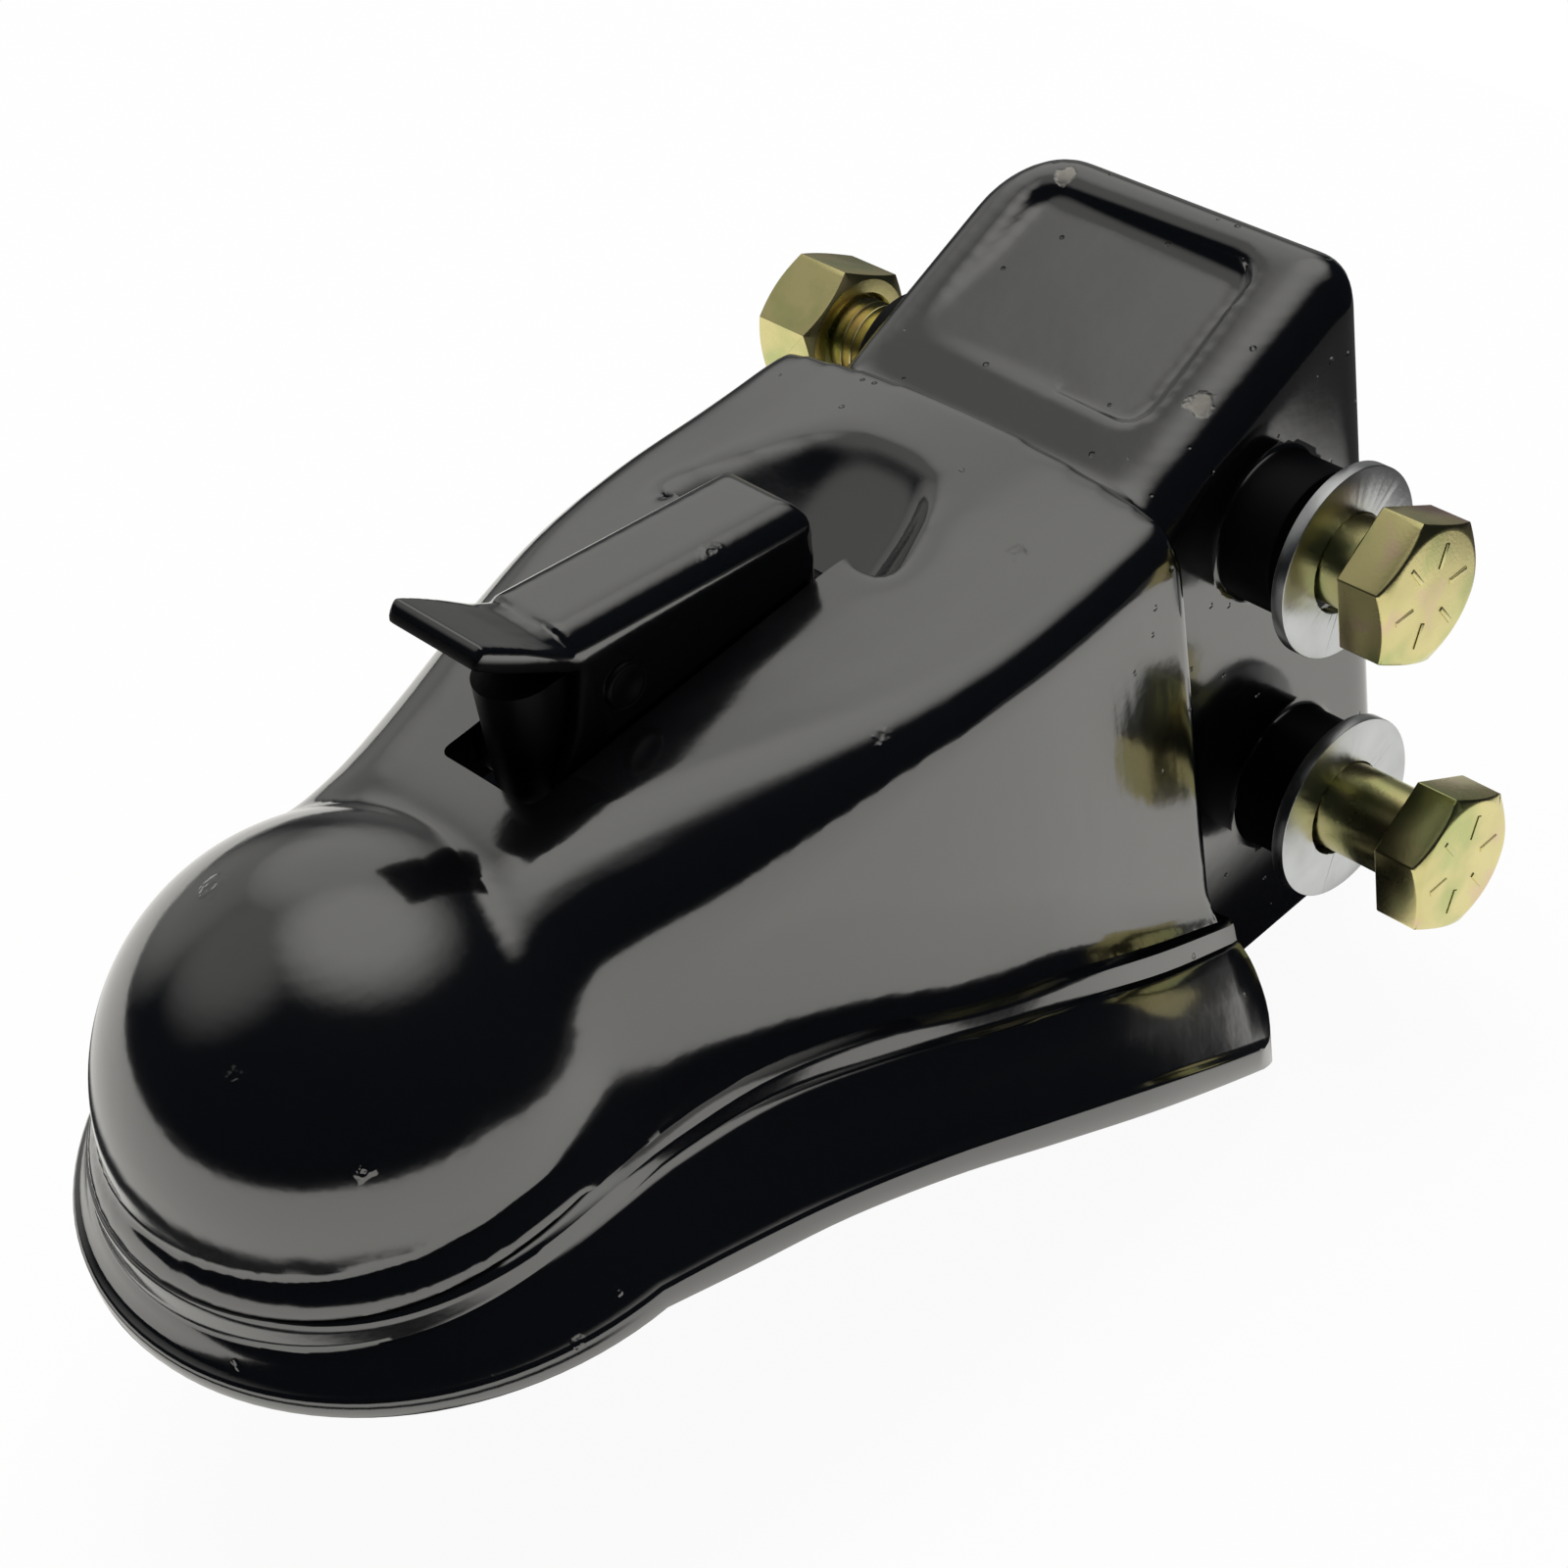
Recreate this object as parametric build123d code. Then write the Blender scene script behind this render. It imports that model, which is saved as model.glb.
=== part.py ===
from build123d import *
import math
import os

# Trailer coupling head for a ball of 2-5/16 inch, with two clamping bolts.
# Millimetres. Origin at the centre of the ball. X across, Y to the rear, Z up.

# Ball and socket
BALL_R = 29.37
BALL_CLEAR = 0.5
SOCKET_R = BALL_R + BALL_CLEAR
DOME_WALL = 11.28
DOME_R = SOCKET_R + DOME_WALL
MOUTH_FLARE = 3.0

# Rim round the foot of the dome
RIM_R = 55.8
RIM_Y = 7.5
RIM_T = 4.8
RIM_BOTTOM = -20.0
# Rings from the rim up to the dome: centre along Y, radius, height at the sides, fall to the front
LEDGE_RINGS = [(1.8, 47.2, -6.2, 3.8), (0.5, 43.4, -2.2, 4.8), (0.0, 41.2, 7.0, 6.5)]

# Body between dome and rear box: one row of sizes for each cross-section.
# Station along Y, top, fall of the crowned top to its edge, corner radius, half width at
# the top, then the four breaks of the flank as (half width, height) and the underside.
STATIONS = [
    (7.5, 28.0, 0.5, 15.0, 36.5, (39.8, 6.4), (43.0, -3.8), (46.5, -6.5), (55.2, -15.8), -20.0),
    (22.0, 33.6, 0.5, 14.0, 31.5, (35.6, 6.5), (40.8, -5.6), (46.4, -7.0), (57.0, -17.8), -23.6),
    (40.0, 35.0, 0.7, 13.5, 35.6, (37.2, 5.5), (42.2, -6.4), (48.8, -8.0), (59.6, -20.9), -26.6),
    (60.0, 37.1, 1.9, 10.5, 40.5, (41.3, -0.5), (45.2, -11.4), (51.8, -13.8), (62.2, -26.6), -32.6),
    (80.0, 38.9, 3.2, 8.5, 44.8, (45.3, -10.4), (48.6, -19.3), (54.6, -21.4), (64.6, -34.0), -40.6),
    (100.0, 40.4, 4.7, 7.5, 46.9, (47.3, -19.2), (50.4, -26.2), (56.2, -29.6), (66.2, -42.4), -49.2),
    (120.0, 41.4, 5.4, 7.0, 46.2, (46.6, -33.0), (49.2, -36.7), (54.8, -40.5), (65.2, -53.4), -59.4),
    (141.0, 42.0, 4.4, 6.5, 43.6, (44.4, -46.0), (46.2, -48.7), (51.0, -51.4), (62.8, -65.6), -70.8),
]
BODY_REAR = STATIONS[-1][0]
RIM_REAR = BODY_REAR
RIM_CORNER_R = 12.0
WALL = 8.0
SKIRT_WALL = 7.5

# Rear box that goes between the cheeks of the tongue channel
BOX_LEFT = -36.2
BOX_RIGHT = 38.8
BOX_FRONT = 134.0
BOX_REAR = 195.4
BOX_BOTTOM = -71.0
BOX_BREAK_Y = 141.0
BOX_BREAK_Z = 35.5
BOX_TOP_ANGLE = 21.2
BOX_LEFT_EDGE_R = 16.0
BOX_RIGHT_EDGE_R = 7.5
BOX_TOP_EDGE_R = 7.0
BOX_WALL = 9.0
BOSS_D = 26.0
BOSS_LEFT = BOX_LEFT - 9.0
BOSS_RIGHT = BOX_RIGHT + 10.8
PANEL_FRONT_HALF = 24.2
PANEL_REAR_HALF = 23.0
PANEL_FRONT = 152.9
PANEL_REAR = 184.7
PANEL_DEPTH = 1.9
PANEL_FALL_X = 0.0375
PANEL_FALL_Y = 0.069
PANEL_CORNER_R = 4.0

# Clamping bolts, nuts and washers, 5/8 inch
BOLT_D = 15.875
BOLT_HOLE_CLEAR = 0.35
BOLT_LEN = 127.0
HEX_AF = 23.81
HEAD_H = 9.9
NUT_H = 13.9
NUT_CLEAR = 0.06
WASHER_OD = 33.3
WASHER_ID = 17.46
WASHER_T = 2.4
HANG_CLEAR = 0.05
BOLT_TO_REAR = 28.5
BOLT_Y = BOX_REAR - BOLT_TO_REAR
BOLT_Z_UPPER = 17.6
BOLT_Z_LOWER = -37.0
HEAD_X_UPPER = 62.3
HEAD_X_LOWER = 68.0
WASHER_X_UPPER = 54.3
WASHER_X_LOWER = 51.3
NUT_X_UPPER = -56.2
NUT_X_LOWER = -46.0

# Latch lever: a folded handle over the latch post
LEVER_HALF = 10.0
LEVER_T = 2.8
LEVER_EDGE_R = 6.0
LEVER_FRONT = 47.0
LEVER_REAR = 96.0
LEVER_TOP_FRONT = 58.8
LEVER_TOP_REAR = 53.0
LEVER_FOOT = 28.0
CHEEK_FRONT = [(39.5, 29.0), (40.3, 35.0), (45.2, 42.5), (48.2, 52.0)]
TAB_HALF = 10.3
TAB_FRONT = 31.4
TAB_TOP = 66.9
TAB_T = 3.0
TAB_CORNER_R = 2.5

# Pivot of the lever
PIN_Y = 55.0
PIN_Z = 44.4
PIN_D = 7.9
PIN_CLEAR = 0.06
PIN_HEAD_D = 9.6
PIN_HEAD_H = 1.8
PIN_END_CLEAR = 0.3

# Latch post, which stands in the slot and carries the pivot
POST_SIDE_CLEAR = 0.4
POST_HALF = LEVER_HALF - LEVER_T - POST_SIDE_CLEAR
POST_FRONT = 36.3
POST_REAR = 61.5
POST_TOP_R = 7.4
POST_NOSE_TOP = 50.0
POST_FOOT = -4.0
STEM_Y = 50.0
STEM_D = 12.7
STEM_END = -32.0

# Jaw that closes under the ball, with its spring, washer and nut
JAW_HALF = 14.0
JAW_TOP = POST_FOOT
JAW_BOTTOM = -18.5
JAW_REAR = 61.5
STEM_CLEAR = 0.2
POCKET_D = 21.0
POCKET_TOP = -9.0
SPRING_WIRE = 2.2
SPRING_OD = 19.0
SPRING_TURNS = 2.5
CUP_OD = 26.0
CUP_T = 2.0
STEM_NUT_AF = 19.0
STEM_NUT_H = 9.0

# How far the latch slides to the rear
LATCH_TRAVEL = 7.5

# Slot for the latch in the top of the body, with a round scoop behind it
SLOT_SIDE_CLEAR = 0.6
SLOT_FRONT_CLEAR = 3.1
SLOT_END_CLEAR = 1.0
SLOT_HALF = LEVER_HALF + SLOT_SIDE_CLEAR
SLOT_FRONT = POST_FRONT - SLOT_FRONT_CLEAR
SLOT_REAR = LEVER_REAR + LATCH_TRAVEL + SLOT_END_CLEAR
SLOT_CORNER_R = 2.0
ROOF_INSIDE = 26.0
SCOOP_R = 23.5
SCOOP_X = -1.5
SCOOP_LIP = 28.5

# Solids that stand on their base plane
UP = (Align.CENTER, Align.CENTER, Align.MIN)


def half_outline(row):
    """Right-hand corner points of one body cross-section, below the top corner."""
    flank, ledge, edge, rim, under = row[5:]
    bend = (0.475 * flank[0] + 0.525 * ledge[0], 0.33 * flank[1] + 0.67 * ledge[1])
    return [flank, bend, ledge, edge, rim, (rim[0], under)]


def body_section(row):
    """One closed cross-section of the body at its station."""
    y, top, crown, r, w = row[:5]
    tilt = math.atan(2 * crown / (w - r))
    low = top - crown
    centre = low - r * math.cos(tilt)
    half = (math.pi / 2 - tilt) / 2
    start = (w - r + r * math.sin(tilt), low)
    middle = (w - r + r * math.cos(half), centre + r * math.sin(half))
    right = [(w, centre)] + half_outline(row)
    left = [(-x, z) for x, z in reversed(right)]

    def at(p):
        return Vector(p[0], y, p[1])

    def across(p):
        return Vector(-p[0], y, p[1])

    edges = [ThreePointArc(across(start), at((0, top)), at(start))]
    edges.append(ThreePointArc(at(start), at(middle), at(right[0])))
    path = right + left
    for a, b in zip(path[:-1], path[1:]):
        edges.append(Line(at(a), at(b)))
    edges.append(ThreePointArc(across(right[0]), across(middle), across(start)))
    return Face(Wire(edges))


def hollow_section(row, y):
    """One closed cross-section of the hollow inside the body, open far below."""
    w, flank, rim, under = row[4], row[5], row[8], row[9]
    roof = ROOF_INSIDE
    wi = w - WALL
    low = -130.0
    right = [(wi - 6, roof), (wi, roof - 6), (flank[0] - WALL, flank[1] - 5)]
    right += [(rim[0] - SKIRT_WALL + 3, under - 6), (rim[0] - SKIRT_WALL + 3, low)]
    left = [(-x, z) for x, z in reversed(right)]
    pts = [Vector(x, y, z) for x, z in right + left]
    return Face(Wire(Polyline(*pts, close=True)))


def yz_prism(points, half):
    """Solid of a side-view outline, spread evenly to both sides of the middle."""
    pts = [Vector(-half, y, z) for y, z in points]
    face = Face(Wire(Polyline(*pts, close=True)))
    return extrude(face, amount=2 * half, dir=(1, 0, 0))


def box_top(y):
    """Height of the inclined top of the rear box."""
    return BOX_BREAK_Z + (y - BOX_BREAK_Y) * math.tan(math.radians(BOX_TOP_ANGLE))


def x_cylinder(d, x0, x1, y, z):
    """Cylinder along X from x0 to x1."""
    plane = Plane(origin=(x0, y, z), x_dir=(0, 1, 0), z_dir=(1, 0, 0))
    return plane * Cylinder(d / 2, x1 - x0, align=UP)


def z_cylinder(d, z0, z1, y):
    """Upright cylinder from z0 to z1 on the middle plane."""
    return Pos(0, y, z0) * Cylinder(d / 2, z1 - z0, align=UP)


def hexagon(af, length, chamfer_both):
    """Upright hexagonal block with its corners turned off at one or both ends."""
    block = extrude(RegularPolygon(af / 2, 6, major_radius=False), length)
    corner = af / math.sqrt(3)
    drop = (corner - af / 2) * math.tan(math.radians(30))
    top = Pos(0, 0, length - drop - 0.3)
    cone = top * Cone(corner + 0.02, af / 2 - 0.5, drop + 0.3, align=UP)
    keep = Cylinder(corner + 0.02, length - drop - 0.3, align=UP) + cone
    block = block & keep
    if chamfer_both:
        block = block & (Pos(0, 0, length) * Rot(180, 0, 0) * keep)
    return block


def make_body():
    """The cast body: dome, neck, skirt and rear box in one piece, hollow below."""
    shell = loft([body_section(row) for row in STATIONS])
    rim = Pos(0, RIM_Y, RIM_BOTTOM) * Cylinder(RIM_R, RIM_T, align=UP)
    rings = [(Plane(origin=(0, RIM_Y, RIM_BOTTOM + RIM_T)) * Circle(RIM_R)).face()]
    for y, r, z, fall in LEDGE_RINGS:
        rings.append((Plane(origin=(0, y, z), x_dir=(1, 0, 0), z_dir=(0, -fall, r)) * Circle(r)).face())
    ledge = loft(rings, ruled=True)
    dome = Sphere(DOME_R) - Pos(0, 0, RIM_BOTTOM - 50) * Box(200, 200, 100)
    barrel = z_cylinder(2 * DOME_R, RIM_BOTTOM, 0, 0)
    shell = shell + rim + ledge + dome + barrel
    # Rear corners of the skirt
    reach = STATIONS[-1][8][0] + 0.5
    taper = (STATIONS[-2][8][0] - STATIONS[-1][8][0]) / (STATIONS[-1][0] - STATIONS[-2][0])
    beyond = Pos(0, RIM_REAR - RIM_CORNER_R + 50, -60) * Box(2 * reach + 20, 100, 110)
    wide = reach + 60 * taper
    plan = [(-reach, RIM_REAR), (-wide, RIM_REAR - 60), (wide, RIM_REAR - 60), (reach, RIM_REAR)]
    plan = make_face(Polyline(*plan, close=True))
    plan = fillet(plan.vertices().group_by(Axis.Y)[-1], RIM_CORNER_R)
    plan = Pos(0, 0, -115) * extrude(plan, amount=110)
    cheeks = Pos(0, RIM_REAR, -60) * Box(2 * STATIONS[-1][5][0], 200, 110)
    shell = shell - (beyond - plan - cheeks)
    # Rear box
    side = [(BOX_FRONT, BOX_BOTTOM), (BOX_REAR, BOX_BOTTOM), (BOX_REAR, box_top(BOX_REAR))]
    side += [(BOX_BREAK_Y, BOX_BREAK_Z), (BOX_FRONT, BOX_BREAK_Z)]
    box_middle = (BOX_LEFT + BOX_RIGHT) / 2
    box_half = (BOX_RIGHT - BOX_LEFT) / 2
    box = Pos(box_middle, 0, 0) * yz_prism(side, box_half)
    box = fillet(box.edges().filter_by(Axis.Z).group_by(Axis.Y)[-1].sort_by(Axis.X)[0], BOX_LEFT_EDGE_R)
    box = fillet(box.edges().filter_by(Axis.Z).group_by(Axis.Y)[-1].sort_by(Axis.X)[-1], BOX_RIGHT_EDGE_R)
    rim_face = box.faces().sort_by(Axis.Z)[-1]
    box = fillet(rim_face.edges().group_by(Axis.Y)[1:], BOX_TOP_EDGE_R)
    shell = shell + box
    for z in (BOLT_Z_UPPER, BOLT_Z_LOWER):
        shell = shell + x_cylinder(BOSS_D, BOSS_LEFT, BOSS_RIGHT, BOLT_Y, z)
    # Dished panel in the top of the box, deeper to the rear and to the right
    centre_y = (PANEL_FRONT + PANEL_REAR) / 2
    rise = math.tan(math.radians(BOX_TOP_ANGLE)) - PANEL_FALL_Y
    floor = Plane(
        origin=(0, centre_y, box_top(centre_y) - PANEL_DEPTH),
        x_dir=(1, 0, -PANEL_FALL_X),
        z_dir=(PANEL_FALL_X, -rise, 1),
    )
    reach_y = (PANEL_REAR - PANEL_FRONT) / 2 * math.sqrt(1 + rise ** 2)
    corners = [(-PANEL_FRONT_HALF, -reach_y), (PANEL_FRONT_HALF, -reach_y)]
    corners += [(PANEL_REAR_HALF, reach_y), (-PANEL_REAR_HALF, reach_y)]
    panel = make_face(Polyline(*corners, close=True))
    panel = fillet(panel.vertices(), PANEL_CORNER_R)
    shell = shell - floor * extrude(panel, amount=12)
    # Socket and hollow
    shell = shell - Sphere(SOCKET_R) - z_cylinder(2 * SOCKET_R, -130, 0, 0)
    mouth = Pos(0, 0, RIM_BOTTOM) * Cone(SOCKET_R + MOUTH_FLARE, SOCKET_R, MOUTH_FLARE, align=UP)
    shell = shell - mouth
    cuts = [hollow_section(STATIONS[1], 12.0)]
    cuts += [hollow_section(row, row[0]) for row in STATIONS[1:-1]]
    cuts += [hollow_section(STATIONS[-1], BODY_REAR - WALL)]
    shell = shell - loft(cuts)
    back = BOX_REAR - BOX_WALL
    inner = [(130.0, -130.0), (back, -130.0), (back, box_top(back) - BOX_WALL)]
    inner += [(BOX_BREAK_Y, BOX_BREAK_Z - BOX_WALL), (130.0, BOX_BREAK_Z - BOX_WALL)]
    shell = shell - Pos(box_middle, 0, 0) * yz_prism(inner, box_half - BOX_WALL)
    # Slot, the scoop behind it and the bolt holes
    slot = Pos(0, (SLOT_FRONT + SLOT_REAR) / 2, 45) * Box(2 * SLOT_HALF, SLOT_REAR - SLOT_FRONT, 60)
    slot = fillet(slot.edges().filter_by(Axis.Z), SLOT_CORNER_R)
    scoop = Pos(SCOOP_X, SLOT_REAR, SCOOP_LIP + SCOOP_R) * Sphere(SCOOP_R)
    shell = shell - slot - scoop
    for z in (BOLT_Z_UPPER, BOLT_Z_LOWER):
        shell = shell - x_cylinder(BOLT_D + 2 * BOLT_HOLE_CLEAR, -80, 80, BOLT_Y, z)
    return shell


def make_bolt(head_x, z):
    """Hexagon bolt along X, head outward on the right."""
    shank = x_cylinder(BOLT_D, head_x - BOLT_LEN, head_x, BOLT_Y, z)
    shank = chamfer(shank.edges().group_by(Axis.X)[0], 1.0)
    seat = Plane(origin=(head_x, BOLT_Y, z), x_dir=(0, 0, 1), z_dir=(1, 0, 0))
    return shank + seat * hexagon(HEX_AF, HEAD_H, False)


def make_nut(inner_x, z):
    """Hexagon nut on the bolt, away from the body on the left."""
    seat = Plane(origin=(inner_x, BOLT_Y, z), x_dir=(0, 0, 1), z_dir=(-1, 0, 0))
    nut = seat * hexagon(HEX_AF, NUT_H, True)
    return nut - x_cylinder(BOLT_D + 2 * NUT_CLEAR, inner_x - NUT_H - 1, inner_x + 1, BOLT_Y, z)


def make_washer(x, z):
    """Flat washer that hangs on the bolt shank."""
    drop = (WASHER_ID - BOLT_D) / 2 - HANG_CLEAR
    ring = x_cylinder(WASHER_OD, x - WASHER_T / 2, x + WASHER_T / 2, BOLT_Y, z - drop)
    return ring - x_cylinder(WASHER_ID, x - WASHER_T, x + WASHER_T, BOLT_Y, z - drop)


def lever_arch(half, depth, corner):
    """Long arch of the lever's cross-section, laid along the slope of its roof."""
    rise = LEVER_TOP_REAR - LEVER_TOP_FRONT
    run = LEVER_REAR - LEVER_FRONT
    along = Vector(0, run, rise).normalized()
    start = Plane(origin=(0, LEVER_FRONT, LEVER_TOP_FRONT), x_dir=(1, 0, 0), z_dir=along)
    face = Pos(0, depth + 40) * Rectangle(2 * half, 80)
    face = fillet(face.vertices().group_by(Axis.Y)[0], corner)
    return start * (Pos(0, 0, -40) * extrude(face, amount=160))


def make_lever():
    """Folded handle with a flared thumb tab, open below and at both ends."""
    outline = [(LEVER_FRONT, LEVER_TOP_FRONT + 1), (LEVER_REAR - 3, LEVER_TOP_REAR + 2)]
    outline += [(LEVER_REAR - 0.5, LEVER_TOP_REAR - 2), (LEVER_REAR - 3, LEVER_FOOT)]
    outline += [(CHEEK_FRONT[0][0] + 1, LEVER_FOOT)] + CHEEK_FRONT
    lever = yz_prism(outline, LEVER_HALF + 1) & lever_arch(LEVER_HALF, 0, LEVER_EDGE_R)
    lever = lever - lever_arch(LEVER_HALF - LEVER_T, LEVER_T, LEVER_EDGE_R - LEVER_T)
    tab = [(TAB_FRONT, TAB_TOP), (40.0, 61.5), (LEVER_FRONT + 1.5, LEVER_TOP_FRONT - 0.3)]
    tab += [(LEVER_FRONT + 3, LEVER_TOP_FRONT - TAB_T), (LEVER_FRONT, LEVER_TOP_FRONT - TAB_T)]
    tab += [(39.5, 61.6 - TAB_T), (TAB_FRONT - 0.8, TAB_TOP - TAB_T)]
    blade = yz_prism(tab, TAB_HALF)
    blade = fillet(blade.faces().sort_by(Axis.Y)[0].edges().filter_by(Axis.X, reverse=True), TAB_CORNER_R)
    lever = lever + blade
    return lever - x_cylinder(PIN_D + 2 * PIN_CLEAR, -20, 20, PIN_Y, PIN_Z)


def make_pin():
    """Pivot pin with a low domed head at each end, outside the lever."""
    reach = LEVER_HALF + PIN_END_CLEAR
    pin = x_cylinder(PIN_D, -reach, reach, PIN_Y, PIN_Z)
    ball_r = (PIN_HEAD_D ** 2 / 4 + PIN_HEAD_H ** 2) / (2 * PIN_HEAD_H)
    cap = Sphere(ball_r) & Pos(0, 0, ball_r - PIN_HEAD_H + 10) * Box(40, 40, 20)
    for side in (1, -1):
        centre = side * (reach - ball_r + PIN_HEAD_H)
        seat = Plane(origin=(centre, PIN_Y, PIN_Z), x_dir=(0, 1, 0), z_dir=(side, 0, 0))
        pin = pin + seat * cap
    return pin


def make_post():
    """Latch post: round at the front, round over the pivot, with a stem below."""
    block = Pos(0, (POST_FRONT + POST_HALF + POST_REAR) / 2, (POST_NOSE_TOP + POST_FOOT) / 2)
    block = block * Box(2 * POST_HALF, POST_REAR - POST_FRONT - POST_HALF, POST_NOSE_TOP - POST_FOOT)
    nose = z_cylinder(2 * POST_HALF, POST_FOOT, POST_NOSE_TOP, POST_FRONT + POST_HALF)
    crown = x_cylinder(2 * POST_TOP_R, -POST_HALF, POST_HALF, PIN_Y, PIN_Z)
    post = block + nose
    rear_cut = Pos(0, PIN_Y + 20, PIN_Z + 15) * Box(40, 40, 30)
    post = post - rear_cut + crown
    post = post + z_cylinder(STEM_D, STEM_END, POST_FOOT, STEM_Y)
    return post - x_cylinder(PIN_D + 2 * PIN_CLEAR, -20, 20, PIN_Y, PIN_Z)


def make_jaw():
    """Jaw under the ball, with a hole for the stem and a pocket for the spring."""
    low = Pos(0, (10 + JAW_REAR) / 2, (JAW_TOP + JAW_BOTTOM) / 2)
    jaw = low * Box(2 * JAW_HALF, JAW_REAR - 10, JAW_TOP - JAW_BOTTOM)
    jaw = fillet(jaw.edges().filter_by(Axis.Z).group_by(Axis.Y)[-1], 5.0)
    jaw = jaw - Sphere(SOCKET_R)
    jaw = jaw - z_cylinder(STEM_D + 2 * STEM_CLEAR, -60, 20, STEM_Y)
    return jaw - z_cylinder(POCKET_D, -60, POCKET_TOP, STEM_Y)


def make_spring():
    """Coil spring in the pocket of the jaw, round the stem."""
    bottom = JAW_BOTTOM + SPRING_WIRE / 2
    height = POCKET_TOP - JAW_BOTTOM - SPRING_WIRE - 0.1
    radius = (SPRING_OD - SPRING_WIRE) / 2
    path = Helix(pitch=height / SPRING_TURNS, height=height, radius=radius)
    start = Plane(origin=path @ 0, z_dir=path % 0)
    coil = sweep(start * Circle(SPRING_WIRE / 2), path=path)
    return Pos(0, STEM_Y, bottom) * coil


def make_cup():
    """Flat washer under the spring."""
    ring = z_cylinder(CUP_OD, JAW_BOTTOM - CUP_T, JAW_BOTTOM, STEM_Y)
    return ring - z_cylinder(STEM_D + 2 * STEM_CLEAR, -60, 20, STEM_Y)


def make_stem_nut():
    """Nut on the end of the stem."""
    top = JAW_BOTTOM - CUP_T
    nut = Pos(0, STEM_Y, top - STEM_NUT_H) * hexagon(STEM_NUT_AF, STEM_NUT_H, True)
    return nut - z_cylinder(STEM_D + 2 * NUT_CLEAR, -60, 20, STEM_Y)


PARTS = {
    "body": make_body(),
    "lever": make_lever(),
    "pivot_pin": make_pin(),
    "latch_post": make_post(),
    "ball_jaw": make_jaw(),
    "jaw_spring": make_spring(),
    "spring_washer": make_cup(),
    "stem_nut": make_stem_nut(),
    "bolt_upper": make_bolt(HEAD_X_UPPER, BOLT_Z_UPPER),
    "bolt_lower": make_bolt(HEAD_X_LOWER, BOLT_Z_LOWER),
    "washer_upper": make_washer(WASHER_X_UPPER, BOLT_Z_UPPER),
    "washer_lower": make_washer(WASHER_X_LOWER, BOLT_Z_LOWER),
    "nut_upper": make_nut(NUT_X_UPPER, BOLT_Z_UPPER),
    "nut_lower": make_nut(NUT_X_LOWER, BOLT_Z_LOWER),
}

os.makedirs("parts", exist_ok=True)
for name, shape in PARTS.items():
    shape.label = name
    export_step(shape, "parts/" + name + ".step")
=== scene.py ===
"""Looks of a cast trailer coupling head: painted body and latch, plated bolts, nuts and washers."""

import math
from collections import namedtuple

import bmesh
import bpy
from bpy.props import FloatProperty, FloatVectorProperty, PointerProperty
from mathutils import Matrix, Vector


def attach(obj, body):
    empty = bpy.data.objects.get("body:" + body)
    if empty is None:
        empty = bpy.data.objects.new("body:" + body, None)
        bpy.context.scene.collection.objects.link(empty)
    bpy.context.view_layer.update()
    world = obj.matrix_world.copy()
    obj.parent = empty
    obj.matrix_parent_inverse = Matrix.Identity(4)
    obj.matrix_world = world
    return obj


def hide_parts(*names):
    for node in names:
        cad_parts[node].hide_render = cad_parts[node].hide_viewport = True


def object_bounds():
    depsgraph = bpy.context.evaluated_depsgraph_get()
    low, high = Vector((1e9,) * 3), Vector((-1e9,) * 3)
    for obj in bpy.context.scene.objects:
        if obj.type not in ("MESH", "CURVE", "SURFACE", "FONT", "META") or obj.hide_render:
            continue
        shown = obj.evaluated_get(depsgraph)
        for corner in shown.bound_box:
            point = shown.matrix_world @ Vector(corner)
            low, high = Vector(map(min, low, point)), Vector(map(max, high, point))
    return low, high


bl_info = {
    "name": "Trailer coupling head",
    "version": (1, 0, 0),
    "blender": (4, 5, 0),
    "location": "3D View > Sidebar > Coupling",
    "description": "Cast coupling head with a latch lever and clamping bolts",
    "category": "Object",
}

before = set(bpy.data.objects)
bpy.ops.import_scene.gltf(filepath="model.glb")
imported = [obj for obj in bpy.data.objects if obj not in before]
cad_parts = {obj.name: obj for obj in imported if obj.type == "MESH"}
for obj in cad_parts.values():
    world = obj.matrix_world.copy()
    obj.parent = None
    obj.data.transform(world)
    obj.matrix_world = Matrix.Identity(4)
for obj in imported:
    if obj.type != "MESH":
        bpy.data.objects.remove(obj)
CAD_LOW, CAD_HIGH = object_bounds()
MM = 0.001

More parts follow.
